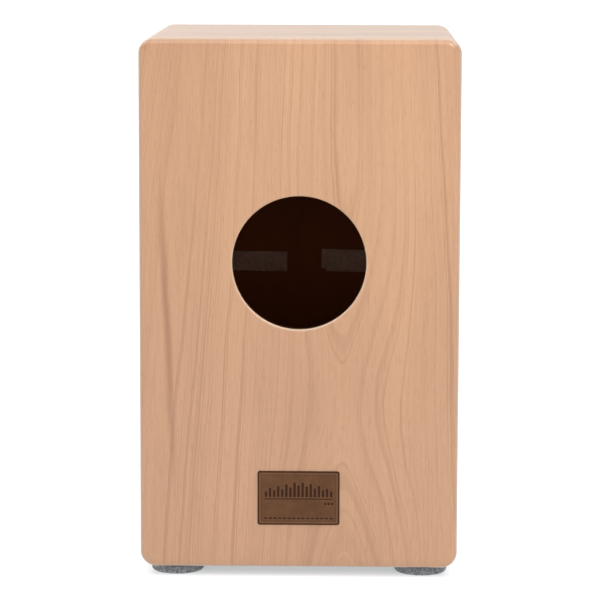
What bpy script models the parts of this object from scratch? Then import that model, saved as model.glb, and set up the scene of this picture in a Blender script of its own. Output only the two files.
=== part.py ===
"""A cajon: a plywood box drum with a screwed-on tapa, a rear sound hole and a snare frame inside.

Metres, +Z up. The origin is on the floor, under the middle of the body. The tapa, which is
the plate that is played, faces -Y and the sound hole faces +Y. Left is the player's left, +X.
Heights named ..._HEIGHT_ON_BODY are counted from the underside of the base panel.
"""

import math

import bmesh
import bpy
from mathutils import Matrix, Vector

# Fits
GAP = 0.0003              # between pieces that touch
PIVOT_END_GAP = 0.0005    # between the snare rail's ends and its brackets

# Body
BODY_WIDTH = 0.300
BODY_DEPTH = 0.300        # from the tapa's face to the back panel's face
BODY_HEIGHT = 0.500       # without the feet
CORNER_RADIUS = 0.015     # of the four long edges
CORNER_STEPS = 10
SHELL_THICKNESS = 0.012
BACK_THICKNESS = 0.009
BACK_ROUNDING = BACK_THICKNESS * 5 / 6
BACK_ROUNDING_STEPS = 5
TAPA_THICKNESS = 0.003
TAPA_EASING = 0.0008

# Sound hole
HOLE_DIAMETER = 0.125
HOLE_HEIGHT_ON_BODY = BODY_HEIGHT * 0.5814
HOLE_EASING = 0.0022
HOLE_SEGMENTS = 80

# Badge on the back panel
BADGE_WIDTH = 0.0772
BADGE_HEIGHT = 0.0515
BADGE_THICKNESS = 0.0012
BADGE_CORNER_RADIUS = 0.0025
BADGE_EASING = 0.0003
BADGE_HEIGHT_ON_BODY = 0.0677

# Feet
FOOT_DIAMETER = 0.050
FOOT_HEIGHT = 0.009
FOOT_ROUNDING = 0.003
FOOT_CENTRE_FROM_SIDE = 0.034
FOOT_SEGMENTS = 32
FOOT_RECESS_DIAMETER = 0.012
FOOT_RECESS_DEPTH = 0.0034
FOOT_SCREW_HEAD_DIAMETER = 0.009
FOOT_SCREW_HEAD_HEIGHT = 0.0024
FOOT_SCREW_SHANK_DIAMETER = 0.004
FOOT_SCREW_LENGTH = FOOT_HEIGHT - FOOT_RECESS_DEPTH + SHELL_THICKNESS * 0.78

# Tapa screws
SCREW_SEGMENTS = 12
TAPA_SCREW_HEAD_DIAMETER = 0.0075
TAPA_SCREW_SHANK_DIAMETER = 0.0035
TAPA_SCREW_LENGTH = 0.025
TAPA_SCREW_RIM = 0.0004
TAPA_SCREW_RECESS = 0.0002
TAPA_SCREWS_ON_SEAT = 5
TAPA_SCREWS_ON_SIDE = 4
TAPA_SCREWS_ON_BASE = 3
TAPA_SCREW_INSET_ON_WIDTH = 0.035
TAPA_SCREW_INSET_ON_HEIGHT = 0.075

# Snare rail, its pins and its brackets
RAIL_DEPTH = 0.014
RAIL_HEIGHT = 0.024
RAIL_EDGE_BEVEL = 0.001
PIVOT_BELOW_RAIL_TOP = 0.006
PIN_DIAMETER = 0.006
PIN_DEPTH_IN_RAIL = 0.018
PIN_DEPTH_IN_BRACKET = 0.009
BRACKET_THICKNESS = 0.012
BRACKET_DEPTH = 0.038
BRACKET_HEIGHT = 0.042
BRACKET_EDGE_BEVEL = 0.0015
BRACKET_FROM_TAPA = 0.002
BRACKET_FROM_SEAT = 0.002
BRACKET_SCREW_FROM_BACK = 0.009
BRACKET_SCREW_SPACING = 0.024
BRACKET_SCREW_HEAD_DIAMETER = 0.007
BRACKET_SCREW_SHANK_DIAMETER = 0.0035
BRACKET_SCREW_LENGTH = BRACKET_THICKNESS + SHELL_THICKNESS * 2 / 3

# Snare carpets and their screws
STRANDS = 20
STRAND_SPACING = 0.0034
STRAND_DIAMETER = 0.0014
STRAND_SIDES = 6
STRAND_OVERLAP = 0.005    # of a strand on each plate
STRANDS_FROM_TAPA = 0.0008
CARPET_LENGTH = 0.131     # with both plates
CARPET_FROM_CENTRE = 0.0605
PLATE_BESIDE_STRANDS = 0.0027
PLATE_WIDTH = STRAND_SPACING * (STRANDS - 1) + PLATE_BESIDE_STRANDS * 2
PLATE_HEIGHT = 0.012
PLATE_THICKNESS = 0.0008
PLATE_SINK = 0.0002       # how far the strands are sunk into the plates
UPPER_PLATE_ABOVE_RAIL_BOTTOM = 0.001
SNARE_SCREW_FROM_PLATE_TOP = 0.0035
SNARE_SCREW_SPACING = PLATE_WIDTH * 5 / 7
SNARE_SCREW_HEAD_DIAMETER = 0.0055
SNARE_SCREW_HEAD_HEIGHT = 0.0009
SNARE_SCREW_SHANK_DIAMETER = 0.0026
SNARE_SCREW_LENGTH = 0.0095

# Damping strips, stuck by hand on the inside of the tapa
DAMPER_WIDTH = 0.085
DAMPER_THICKNESS = 0.002
DAMPER_EDGE_BEVEL = 0.0004
DAMPER_TILT = 1.0         # degrees, the right end low
DAMPER_FROM_CENTRE = {"left": 0.0185, "right": 0.0172}
DAMPER_HEIGHT = {"left": 0.0205, "right": 0.0229}
DAMPER_MIDDLE_ON_BODY = {"left": BODY_HEIGHT * 0.5106, "right": BODY_HEIGHT * 0.5146}
DAMPER_NOTCH_WIDTH = 0.0045
DAMPER_NOTCH_HEIGHT = 0.0030

# Places that follow from the sizes
TAPA_FACE_Y = -(BODY_DEPTH + BADGE_THICKNESS) / 2
TAPA_BACK_Y = TAPA_FACE_Y + TAPA_THICKNESS
BACK_FACE_Y = TAPA_FACE_Y + BODY_DEPTH
SHELL_FRONT_Y = TAPA_BACK_Y + GAP
SHELL_BACK_Y = BACK_FACE_Y - BACK_THICKNESS - GAP
BODY_BOTTOM_Z = FOOT_HEIGHT
BODY_TOP_Z = BODY_BOTTOM_Z + BODY_HEIGHT
BODY_MIDDLE_Z = BODY_BOTTOM_Z + BODY_HEIGHT / 2
INNER_HALF_WIDTH = BODY_WIDTH / 2 - SHELL_THICKNESS
SHELL_MIDDLE = SHELL_THICKNESS / 2
STRANDS_Y = TAPA_BACK_Y + STRANDS_FROM_TAPA + STRAND_DIAMETER / 2
PLATE_FRONT_Y = STRANDS_Y + STRAND_DIAMETER / 2 - PLATE_SINK
RAIL_FRONT_Y = PLATE_FRONT_Y + PLATE_THICKNESS + GAP
PIVOT_Z = BODY_TOP_Z - SHELL_THICKNESS - BRACKET_FROM_SEAT - BRACKET_HEIGHT / 2
RAIL_MIDDLE_Z = PIVOT_Z + PIVOT_BELOW_RAIL_TOP - RAIL_HEIGHT / 2
BRACKET_INNER_X = INNER_HALF_WIDTH - GAP - BRACKET_THICKNESS
RAIL_HALF_LENGTH = BRACKET_INNER_X - PIVOT_END_GAP
PIVOT = Vector((0.0, RAIL_FRONT_Y + RAIL_DEPTH / 2, PIVOT_Z))

# Turns from a screw's own axis, head at +Z, to the way its head faces
HEAD_TO_FRONT = Matrix.Rotation(math.radians(90), 4, "X")
HEAD_TO_FLOOR = Matrix.Rotation(math.radians(180), 4, "X")
HEAD_TO_RIGHT = Matrix.Rotation(math.radians(-90), 4, "Y")
HEAD_TO_LEFT = Matrix.Rotation(math.radians(90), 4, "Y")
SIDES = {"left": 1, "right": -1}


def empty_scene():
    for obj in list(bpy.data.objects):
        bpy.data.objects.remove(obj, do_unlink=True)


def new_collection(name):
    collection = bpy.data.collections.new(name)
    bpy.context.scene.collection.children.link(collection)
    return collection


def new_material(name, colour, roughness, metallic=0.0):
    material = bpy.data.materials.new(name)
    material.use_nodes = True
    shader = material.node_tree.nodes["Principled BSDF"]
    shader.inputs["Base Color"].default_value = (*colour, 1.0)
    shader.inputs["Roughness"].default_value = roughness
    shader.inputs["Metallic"].default_value = metallic
    return material


def add_part(name, mesh, material, matrix=None, parent=None):
    """An object of the cajon, placed in the world by matrix, and carried by parent if one is given."""
    obj = bpy.data.objects.new(name, mesh)
    parts.objects.link(obj)
    if not mesh.materials:
        mesh.materials.append(material)
    place = matrix or Matrix.Identity(4)
    if parent:
        obj.parent = parent
        place = Matrix.Translation(-parent.location) @ place
    obj.matrix_local = place
    return obj


def add_cutter(name, mesh):
    obj = bpy.data.objects.new(name, mesh)
    cutters.objects.link(obj)
    obj.hide_render = True
    obj.display_type = "WIRE"
    return obj


def cut(obj, cutter):
    modifier = obj.modifiers.new("cut by " + cutter.name, "BOOLEAN")
    modifier.operation = "DIFFERENCE"
    modifier.solver = "EXACT"
    modifier.object = cutter


def evaluated_mesh(name, obj):
    """The object's mesh with its modifiers or its curve settings applied, welded; the object is removed."""
    graph = bpy.context.evaluated_depsgraph_get()
    mesh = bpy.data.meshes.new_from_object(obj.evaluated_get(graph))
    mesh.name = name
    form = bmesh.new()
    form.from_mesh(mesh)
    bmesh.ops.remove_doubles(form, verts=form.verts, dist=0.00001)
    bmesh.ops.recalc_face_normals(form, faces=form.faces)
    form.to_mesh(mesh)
    form.free()
    bpy.data.objects.remove(obj, do_unlink=True)
    return mesh


def smooth(mesh, degrees=35):
    mesh.shade_smooth()
    mesh.set_sharp_from_angle(angle=math.radians(degrees))


def box_mesh(name, low, high, bevel=0.0, bevel_steps=2):
    """A box between two corners, with its edges rounded by bevel."""
    low = Vector(low)
    high = Vector(high)
    form = bmesh.new()
    bmesh.ops.create_cube(form, size=1.0)
    bmesh.ops.scale(form, vec=high - low, verts=form.verts)
    bmesh.ops.translate(form, vec=(low + high) / 2, verts=form.verts)
    if bevel:
        bmesh.ops.bevel(form, geom=form.edges, offset=bevel, segments=bevel_steps, profile=0.5, affect="EDGES")
    mesh = bpy.data.meshes.new(name)
    form.to_mesh(mesh)
    form.free()
    smooth(mesh)
    return mesh


def slab_mesh(name, outline, thickness):
    """A flat outline in XZ made into a slab that lies half of its thickness to each side of Y = 0."""
    curve = bpy.data.curves.new(name, "CURVE")
    curve.dimensions = "2D"
    curve.fill_mode = "BOTH"
    curve.extrude = thickness / 2
    spline = curve.splines.new("POLY")
    spline.points.add(len(outline) - 1)
    for point, (x, z) in zip(spline.points, outline):
        point.co = (x, z, 0.0, 1.0)
    spline.use_cyclic_u = True
    obj = bpy.data.objects.new(name, curve)
    bpy.context.scene.collection.objects.link(obj)
    mesh = evaluated_mesh(name, obj)
    mesh.transform(Matrix.Rotation(math.radians(90), 4, "X"))
    return mesh


def ease_rim(mesh, face_y, radius, steps):
    """Rounds the rim of the slab's flat face at Y = face_y."""
    form = bmesh.new()
    form.from_mesh(mesh)
    rim = []
    for edge in form.edges:
        on_face = all(abs(vert.co.y - face_y) < 0.00001 for vert in edge.verts)
        flat = abs(edge.calc_face_angle(0.0)) < math.radians(45)
        if on_face and not flat:
            rim.append(edge)
    bmesh.ops.bevel(form, geom=rim, offset=radius, segments=steps, profile=0.5, affect="EDGES")
    form.to_mesh(mesh)
    form.free()
    smooth(mesh, 28)


def arc(centre_x, centre_z, radius, start, end, steps):
    points = []
    for step in range(steps + 1):
        angle = math.radians(start + (end - start) * step / steps)
        points.append((centre_x + radius * math.cos(angle), centre_z + radius * math.sin(angle)))
    return points


def rounded_rectangle(width, height, radius, steps):
    x = width / 2 - radius
    z = height / 2 - radius
    return (
        arc(x, z, radius, 0, 90, steps)
        + arc(-x, z, radius, 90, 180, steps)
        + arc(-x, -z, radius, 180, 270, steps)
        + arc(x, -z, radius, 270, 360, steps)
    )


def mitred_panel_outline(length, thickness):
    """The end view of a shell panel whose outer face is up, centred on X, its underside at Z = 0.

    Each end is cut at 45 degrees, half a gap back from the mitre line, and carries its half of
    the rounded long edge.
    """
    centre_x = length / 2 - CORNER_RADIUS
    centre_z = thickness - CORNER_RADIUS
    setback = GAP / 2 * math.sqrt(2)
    first = math.degrees(math.asin(GAP / 2 / CORNER_RADIUS)) + 45
    right_arc = arc(centre_x, centre_z, CORNER_RADIUS, first, 90, CORNER_STEPS // 2)
    left_arc = [(-x, z) for x, z in reversed(right_arc)]
    inner_x = length / 2 - thickness - setback
    return [(inner_x, 0.0)] + right_arc + left_arc + [(-inner_x, 0.0)]


def turned_mesh(name, profile, segments, closed=False):
    """A profile of (radius, height) points, run down its outer side, turned about Z."""
    mesh = bpy.data.meshes.new(name)
    form = bmesh.new()
    verts = [form.verts.new((radius, 0.0, height)) for radius, height in profile]
    for first, second in zip(verts, verts[1:]):
        form.edges.new((first, second))
    if closed:
        form.edges.new((verts[-1], verts[0]))
    form.to_mesh(mesh)
    form.free()
    obj = bpy.data.objects.new(name, mesh)
    bpy.context.scene.collection.objects.link(obj)
    screw = obj.modifiers.new("turn", "SCREW")
    screw.steps = segments
    screw.render_steps = segments
    screw.use_merge_vertices = True
    screw.merge_threshold = 0.00001
    turned = evaluated_mesh(name, obj)
    smooth(turned)
    return turned


def joined_mesh(name, mesh, matrices):
    """Copies of one closed mesh, placed by the matrices, in a single mesh."""
    form = bmesh.new()
    for matrix in matrices:
        copy = mesh.copy()
        copy.transform(matrix)
        form.from_mesh(copy)
        bpy.data.meshes.remove(copy)
    joined = bpy.data.meshes.new(name)
    form.to_mesh(joined)
    form.free()
    return joined


def countersunk_profile(head_diameter, shank_diameter, length, rim, recess):
    head = head_diameter / 2
    shank = shank_diameter / 2
    return [
        (0.0, -recess),
        (head, -recess),
        (head, -recess - rim),
        (shank, -recess - rim - (head - shank)),
        (shank, -length + shank * 1.5),
        (0.0, -length),
    ]


def countersunk_hole_profile(head_diameter, shank_diameter, length, rim, recess):
    """The hole that a countersunk screw sits in, a gap wider all round, and open past the head."""
    head = head_diameter / 2 + GAP
    shank = shank_diameter / 2 + GAP
    return [
        (0.0, head_diameter),
        (head, head_diameter),
        (head, -recess - rim - GAP / 2),
        (shank, -recess - rim - GAP / 2 - (head - shank)),
        (shank, -length - GAP),
        (0.0, -length - GAP),
    ]


def pan_head_profile(head_diameter, head_height, shank_diameter, length):
    """A low domed head whose seat is at height 0, on a shank with a pointed end."""
    head = head_diameter / 2
    shank = shank_diameter / 2
    return [
        (0.0, head_height),
        (head * 0.55, head_height),
        (head * 0.85, head_height * 0.82),
        (head, head_height * 0.4),
        (head, 0.0),
        (shank, 0.0),
        (shank, -length + shank * 1.5),
        (0.0, -length),
    ]


def straight_hole_profile(diameter, depth, above):
    radius = diameter / 2 + GAP
    return [(0.0, above), (radius, above), (radius, -depth - GAP), (0.0, -depth - GAP)]


def spread(first, last, count):
    return [first + (last - first) * index / (count - 1) for index in range(count)]


def tapa_screw_places():
    """(x, z) of every tapa screw, in the middle of the shell panels' front edges."""
    half_width = BODY_WIDTH / 2 - TAPA_SCREW_INSET_ON_WIDTH
    low = BODY_BOTTOM_Z + TAPA_SCREW_INSET_ON_HEIGHT
    high = BODY_TOP_Z - TAPA_SCREW_INSET_ON_HEIGHT
    side_x = BODY_WIDTH / 2 - SHELL_MIDDLE
    places = [(x, BODY_TOP_Z - SHELL_MIDDLE) for x in spread(half_width, -half_width, TAPA_SCREWS_ON_SEAT)]
    places += [(-side_x, z) for z in spread(high, low, TAPA_SCREWS_ON_SIDE)]
    places += [(x, BODY_BOTTOM_Z + SHELL_MIDDLE) for x in spread(-half_width, half_width, TAPA_SCREWS_ON_BASE)]
    places += [(side_x, z) for z in spread(low, high, TAPA_SCREWS_ON_SIDE)]
    return places


def tapa_screw_matrices():
    return [Matrix.Translation((x, TAPA_FACE_Y, z)) @ HEAD_TO_FRONT for x, z in tapa_screw_places()]


def foot_places():
    """Name and (x, y) of each foot."""
    x = BODY_WIDTH / 2 - FOOT_CENTRE_FROM_SIDE
    front = TAPA_FACE_Y + FOOT_CENTRE_FROM_SIDE
    back = BACK_FACE_Y - FOOT_CENTRE_FROM_SIDE
    return {
        "front_left": (x, front),
        "front_right": (-x, front),
        "back_left": (x, back),
        "back_right": (-x, back),
    }


def foot_screw_matrices():
    seat_z = FOOT_RECESS_DEPTH - GAP
    return {
        name: Matrix.Translation((x, y, seat_z)) @ HEAD_TO_FLOOR
        for name, (x, y) in foot_places().items()
    }


def bracket_screw_matrices(side):
    """Upper and lower, with the heads facing the middle of the box."""
    turn = HEAD_TO_RIGHT if side > 0 else HEAD_TO_LEFT
    y = TAPA_BACK_Y + BRACKET_FROM_TAPA + BRACKET_DEPTH - BRACKET_SCREW_FROM_BACK
    x = side * BRACKET_INNER_X
    return {
        name: Matrix.Translation((x, y, PIVOT.z + shift)) @ turn
        for name, shift in (("upper", BRACKET_SCREW_SPACING / 2), ("lower", -BRACKET_SCREW_SPACING / 2))
    }


def upper_plate_bottom():
    return RAIL_MIDDLE_Z - RAIL_HEIGHT / 2 + UPPER_PLATE_ABOVE_RAIL_BOTTOM


def snare_screw_matrices(side):
    """Outer and inner, seated on the front of the carpet's upper plate."""
    z = upper_plate_bottom() + PLATE_HEIGHT - SNARE_SCREW_FROM_PLATE_TOP
    middle = side * CARPET_FROM_CENTRE
    return {
        name: Matrix.Translation((middle + shift, PLATE_FRONT_Y - GAP, z)) @ HEAD_TO_FRONT
        for name, shift in (
            ("outer", side * SNARE_SCREW_SPACING / 2),
            ("inner", -side * SNARE_SCREW_SPACING / 2),
        )
    }


def tapa_screw_holes():
    profile = countersunk_hole_profile(
        TAPA_SCREW_HEAD_DIAMETER,
        TAPA_SCREW_SHANK_DIAMETER,
        TAPA_SCREW_LENGTH,
        TAPA_SCREW_RIM,
        TAPA_SCREW_RECESS,
    )
    hole = turned_mesh("tapa screw hole", profile, SCREW_SEGMENTS)
    return add_cutter("tapa_screw_holes", joined_mesh("tapa screw holes", hole, tapa_screw_matrices()))


def foot_screw_holes():
    above = FOOT_RECESS_DEPTH
    hole = turned_mesh(
        "foot screw hole",
        straight_hole_profile(FOOT_SCREW_SHANK_DIAMETER, FOOT_SCREW_LENGTH, above),
        SCREW_SEGMENTS,
    )
    return add_cutter("foot_screw_holes", joined_mesh("foot screw holes", hole, foot_screw_matrices().values()))


def bracket_screw_holes():
    profile = countersunk_hole_profile(
        BRACKET_SCREW_HEAD_DIAMETER,
        BRACKET_SCREW_SHANK_DIAMETER,
        BRACKET_SCREW_LENGTH,
        TAPA_SCREW_RIM,
        TAPA_SCREW_RECESS,
    )
    hole = turned_mesh("bracket screw hole", profile, SCREW_SEGMENTS)
    matrices = []
    for side in SIDES.values():
        matrices += bracket_screw_matrices(side).values()
    return add_cutter("bracket_screw_holes", joined_mesh("bracket screw holes", hole, matrices))


def snare_screw_holes():
    above = SNARE_SCREW_HEAD_HEIGHT
    hole = turned_mesh(
        "snare screw hole",
        straight_hole_profile(SNARE_SCREW_SHANK_DIAMETER, SNARE_SCREW_LENGTH, above),
        SCREW_SEGMENTS,
    )
    matrices = []
    for side in SIDES.values():
        matrices += snare_screw_matrices(side).values()
    return add_cutter("snare_screw_holes", joined_mesh("snare screw holes", hole, matrices))


def pin_holes():
    """Blind holes for the pivot pins, across the gaps between the rail and its brackets."""
    low = BRACKET_INNER_X + PIN_DEPTH_IN_BRACKET + GAP
    high = RAIL_HALF_LENGTH - PIN_DEPTH_IN_RAIL - GAP
    radius = PIN_DIAMETER / 2 + GAP
    hole = turned_mesh("pin hole", [(0.0, low), (radius, low), (radius, high), (0.0, high)], SCREW_SEGMENTS)
    matrices = []
    for turn in (HEAD_TO_RIGHT, HEAD_TO_LEFT):
        matrices.append(Matrix.Translation(PIVOT) @ turn)
    return add_cutter("pin_holes", joined_mesh("pin holes", hole, matrices))


def sound_hole():
    """The hole through the back panel, with its outer rim eased by a quarter round."""
    radius = HOLE_DIAMETER / 2
    over = BACK_THICKNESS
    profile = [(0.0, over), (radius + HOLE_EASING, over), (radius + HOLE_EASING, 0.0)]
    flare = arc(radius + HOLE_EASING, -HOLE_EASING, HOLE_EASING, 90, 180, 4)
    profile += flare[1:]
    profile += [(radius, -BACK_THICKNESS - over), (0.0, -BACK_THICKNESS - over)]
    mesh = turned_mesh("sound hole", profile, HOLE_SEGMENTS)
    mesh.transform(Matrix.Rotation(math.radians(-90), 4, "X"))
    mesh.transform(Matrix.Translation((0.0, BACK_FACE_Y, BODY_BOTTOM_Z + HOLE_HEIGHT_ON_BODY)))
    return add_cutter("sound_hole", mesh)


def make_shell(wood, holes):
    depth = SHELL_BACK_Y - SHELL_FRONT_Y
    middle_y = (SHELL_BACK_Y + SHELL_FRONT_Y) / 2
    across = slab_mesh("panel across", mitred_panel_outline(BODY_WIDTH, SHELL_THICKNESS), depth)
    upright = slab_mesh("panel upright", mitred_panel_outline(BODY_HEIGHT, SHELL_THICKNESS), depth)
    middle = Vector((0.0, middle_y, BODY_MIDDLE_Z))
    to_inner_height = BODY_HEIGHT / 2 - SHELL_THICKNESS
    panels = {
        "seat_panel": (across, 0, to_inner_height),
        "base_panel": (across, 180, to_inner_height),
        "left_side_panel": (upright, 90, INNER_HALF_WIDTH),
        "right_side_panel": (upright, -90, INNER_HALF_WIDTH),
    }
    for name, (mesh, turn, reach) in panels.items():
        own = mesh.copy()
        own.name = name.replace("_", " ")
        smooth(own, 28)
        matrix = (
            Matrix.Translation(middle)
            @ Matrix.Rotation(math.radians(turn), 4, "Y")
            @ Matrix.Translation((0.0, 0.0, reach))
        )
        panel = add_part(name, own, wood, matrix)
        cut(panel, holes["tapa"])
        if name == "base_panel":
            cut(panel, holes["foot"])
        if "side" in name:
            cut(panel, holes["bracket"])


def make_back_panel(wood, hole):
    outline = rounded_rectangle(BODY_WIDTH, BODY_HEIGHT, CORNER_RADIUS, CORNER_STEPS)
    mesh = slab_mesh("back panel", outline, BACK_THICKNESS)
    ease_rim(mesh, BACK_THICKNESS / 2, BACK_ROUNDING, BACK_ROUNDING_STEPS)
    matrix = Matrix.Translation((0.0, BACK_FACE_Y - BACK_THICKNESS / 2, BODY_MIDDLE_Z))
    cut(add_part("back_panel", mesh, wood, matrix), hole)


def make_tapa(wood, holes):
    outline = rounded_rectangle(BODY_WIDTH, BODY_HEIGHT, CORNER_RADIUS, CORNER_STEPS)
    mesh = slab_mesh("tapa", outline, TAPA_THICKNESS)
    ease_rim(mesh, -TAPA_THICKNESS / 2, TAPA_EASING, 2)
    matrix = Matrix.Translation((0.0, TAPA_FACE_Y + TAPA_THICKNESS / 2, BODY_MIDDLE_Z))
    cut(add_part("tapa", mesh, wood, matrix), holes)


def make_tapa_screws(steel):
    profile = countersunk_profile(
        TAPA_SCREW_HEAD_DIAMETER,
        TAPA_SCREW_SHANK_DIAMETER,
        TAPA_SCREW_LENGTH,
        TAPA_SCREW_RIM,
        TAPA_SCREW_RECESS,
    )
    mesh = turned_mesh("tapa screw", profile, SCREW_SEGMENTS)
    for number, matrix in enumerate(tapa_screw_matrices(), start=1):
        add_part(f"tapa_screw_{number:02d}", mesh, steel, matrix)


def make_badge(leather):
    outline = rounded_rectangle(BADGE_WIDTH, BADGE_HEIGHT, BADGE_CORNER_RADIUS, 4)
    thickness = BADGE_THICKNESS - GAP
    mesh = slab_mesh("badge", outline, thickness)
    ease_rim(mesh, thickness / 2, BADGE_EASING, 2)
    place = (0.0, BACK_FACE_Y + GAP + thickness / 2, BODY_BOTTOM_Z + BADGE_HEIGHT_ON_BODY)
    add_part("badge", mesh, leather, Matrix.Translation(place))


def make_feet(felt, steel):
    """Felt discs, each with a recess that hides the head of the screw holding it."""
    outer = FOOT_DIAMETER / 2
    hole = FOOT_SCREW_SHANK_DIAMETER / 2 + GAP
    recess = FOOT_RECESS_DIAMETER / 2
    top = FOOT_HEIGHT - GAP
    profile = [(hole, top), (outer, top)]
    profile += arc(outer - FOOT_ROUNDING, FOOT_ROUNDING, FOOT_ROUNDING, 0, -90, 4)
    profile += [(recess, 0.0), (recess, FOOT_RECESS_DEPTH), (hole, FOOT_RECESS_DEPTH)]
    foot = turned_mesh("foot", profile, FOOT_SEGMENTS, closed=True)
    screw_profile = pan_head_profile(
        FOOT_SCREW_HEAD_DIAMETER,
        FOOT_SCREW_HEAD_HEIGHT,
        FOOT_SCREW_SHANK_DIAMETER,
        FOOT_SCREW_LENGTH,
    )
    screw = turned_mesh("foot screw", screw_profile, SCREW_SEGMENTS)
    for name, (x, y) in foot_places().items():
        add_part(f"{name}_foot", foot, felt, Matrix.Translation((x, y, 0.0)))
    for name, matrix in foot_screw_matrices().items():
        add_part(f"{name}_foot_screw", screw, steel, matrix)


def make_brackets(wood, steel, holes):
    front = TAPA_BACK_Y + BRACKET_FROM_TAPA
    half_height = BRACKET_HEIGHT / 2
    profile = countersunk_profile(
        BRACKET_SCREW_HEAD_DIAMETER,
        BRACKET_SCREW_SHANK_DIAMETER,
        BRACKET_SCREW_LENGTH,
        TAPA_SCREW_RIM,
        TAPA_SCREW_RECESS,
    )
    screw = turned_mesh("bracket screw", profile, SCREW_SEGMENTS)
    for name, side in SIDES.items():
        xs = sorted((side * BRACKET_INNER_X, side * (BRACKET_INNER_X + BRACKET_THICKNESS)))
        low = (xs[0], front, PIVOT.z - half_height)
        high = (xs[1], front + BRACKET_DEPTH, PIVOT.z + half_height)
        mesh = box_mesh(f"{name} rail bracket", low, high, BRACKET_EDGE_BEVEL)
        bracket = add_part(f"{name}_rail_bracket", mesh, wood)
        cut(bracket, holes["bracket"])
        cut(bracket, holes["pin"])
        for height, matrix in bracket_screw_matrices(side).items():
            add_part(f"{name}_bracket_{height}_screw", screw, steel, matrix)


def make_rail(wood, steel, holes, pivot):
    half_depth = RAIL_DEPTH / 2
    low = (-RAIL_HALF_LENGTH, PIVOT.y - half_depth, RAIL_MIDDLE_Z - RAIL_HEIGHT / 2)
    high = (RAIL_HALF_LENGTH, PIVOT.y + half_depth, RAIL_MIDDLE_Z + RAIL_HEIGHT / 2)
    mesh = box_mesh("snare rail", low, high, RAIL_EDGE_BEVEL)
    rail = add_part("snare_rail", mesh, wood, parent=pivot)
    cut(rail, holes["pin"])
    cut(rail, holes["snare"])
    inner = RAIL_HALF_LENGTH - PIN_DEPTH_IN_RAIL
    outer = BRACKET_INNER_X + PIN_DEPTH_IN_BRACKET
    radius = PIN_DIAMETER / 2
    chamfer = radius / 6
    profile = [
        (0.0, outer),
        (radius - chamfer, outer),
        (radius, outer - chamfer),
        (radius, inner + chamfer),
        (radius - chamfer, inner),
        (0.0, inner),
    ]
    pin = turned_mesh("pivot pin", profile, SCREW_SEGMENTS)
    for name, turn in (("left", HEAD_TO_LEFT), ("right", HEAD_TO_RIGHT)):
        add_part(f"{name}_pivot_pin", pin, steel, Matrix.Translation(PIVOT) @ turn, pivot)


def carpet_mesh(name, middle):
    """Two plates joined by a row of strands, as one closed body."""
    half_width = PLATE_WIDTH / 2
    back = PLATE_FRONT_Y + PLATE_THICKNESS
    upper_low = upper_plate_bottom()
    lower_low = upper_low + PLATE_HEIGHT - CARPET_LENGTH
    bottoms = {"upper": upper_low, "lower": lower_low}
    strands_top = upper_low + STRAND_OVERLAP
    strands_bottom = lower_low + PLATE_HEIGHT - STRAND_OVERLAP
    strand_turn = Matrix.Rotation(math.radians(90 / STRAND_SIDES), 4, "Z")
    form = bmesh.new()
    first_x = middle - STRAND_SPACING * (STRANDS - 1) / 2
    for number in range(STRANDS):
        place = (first_x + number * STRAND_SPACING, STRANDS_Y, (strands_top + strands_bottom) / 2)
        bmesh.ops.create_cone(
            form,
            cap_ends=True,
            segments=STRAND_SIDES,
            radius1=STRAND_DIAMETER / 2,
            radius2=STRAND_DIAMETER / 2,
            depth=strands_top - strands_bottom,
            matrix=Matrix.Translation(place) @ strand_turn,
        )
    strands = bpy.data.meshes.new(name + " strands")
    form.to_mesh(strands)
    form.free()
    carpet = bpy.data.objects.new(name, strands)
    bpy.context.scene.collection.objects.link(carpet)
    plates = []
    for end, bottom in bottoms.items():
        low = (middle - half_width, PLATE_FRONT_Y, bottom)
        high = (middle + half_width, back, bottom + PLATE_HEIGHT)
        plate = add_cutter(f"{name} {end} plate", box_mesh(f"{name} {end} plate", low, high))
        join = carpet.modifiers.new(f"join the {end} plate", "BOOLEAN")
        join.operation = "UNION"
        join.solver = "EXACT"
        join.object = plate
        plates.append(plate)
    mesh = evaluated_mesh(name, carpet)
    for plate in plates:
        bpy.data.objects.remove(plate, do_unlink=True)
    smooth(mesh)
    return mesh


def make_carpets(steel, screw_steel, holes, pivot):
    profile = pan_head_profile(
        SNARE_SCREW_HEAD_DIAMETER,
        SNARE_SCREW_HEAD_HEIGHT,
        SNARE_SCREW_SHANK_DIAMETER,
        SNARE_SCREW_LENGTH,
    )
    screw = turned_mesh("snare screw", profile, SCREW_SEGMENTS)
    for name, side in SIDES.items():
        middle = side * CARPET_FROM_CENTRE
        carpet = add_part(
            f"{name}_snare_carpet",
            carpet_mesh(f"{name} snare carpet", middle),
            steel,
            parent=pivot,
        )
        cut(carpet, holes["snare"])
        for end, matrix in snare_screw_matrices(side).items():
            add_part(f"{name}_snare_{end}_screw", screw, screw_steel, matrix, pivot)


def damper_outline(name):
    """A strip's outline from its inner end, which is at X = 0; the right strip has a notch there."""
    half_height = DAMPER_HEIGHT[name] / 2
    if name == "left":
        return [(0.0, -half_height), (DAMPER_WIDTH, -half_height), (DAMPER_WIDTH, half_height), (0.0, half_height)]
    notch_z = -half_height + DAMPER_NOTCH_HEIGHT
    return [
        (-DAMPER_WIDTH, -half_height),
        (-DAMPER_NOTCH_WIDTH, -half_height),
        (-DAMPER_NOTCH_WIDTH, notch_z),
        (0.0, notch_z),
        (0.0, half_height),
        (-DAMPER_WIDTH, half_height),
    ]


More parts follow.
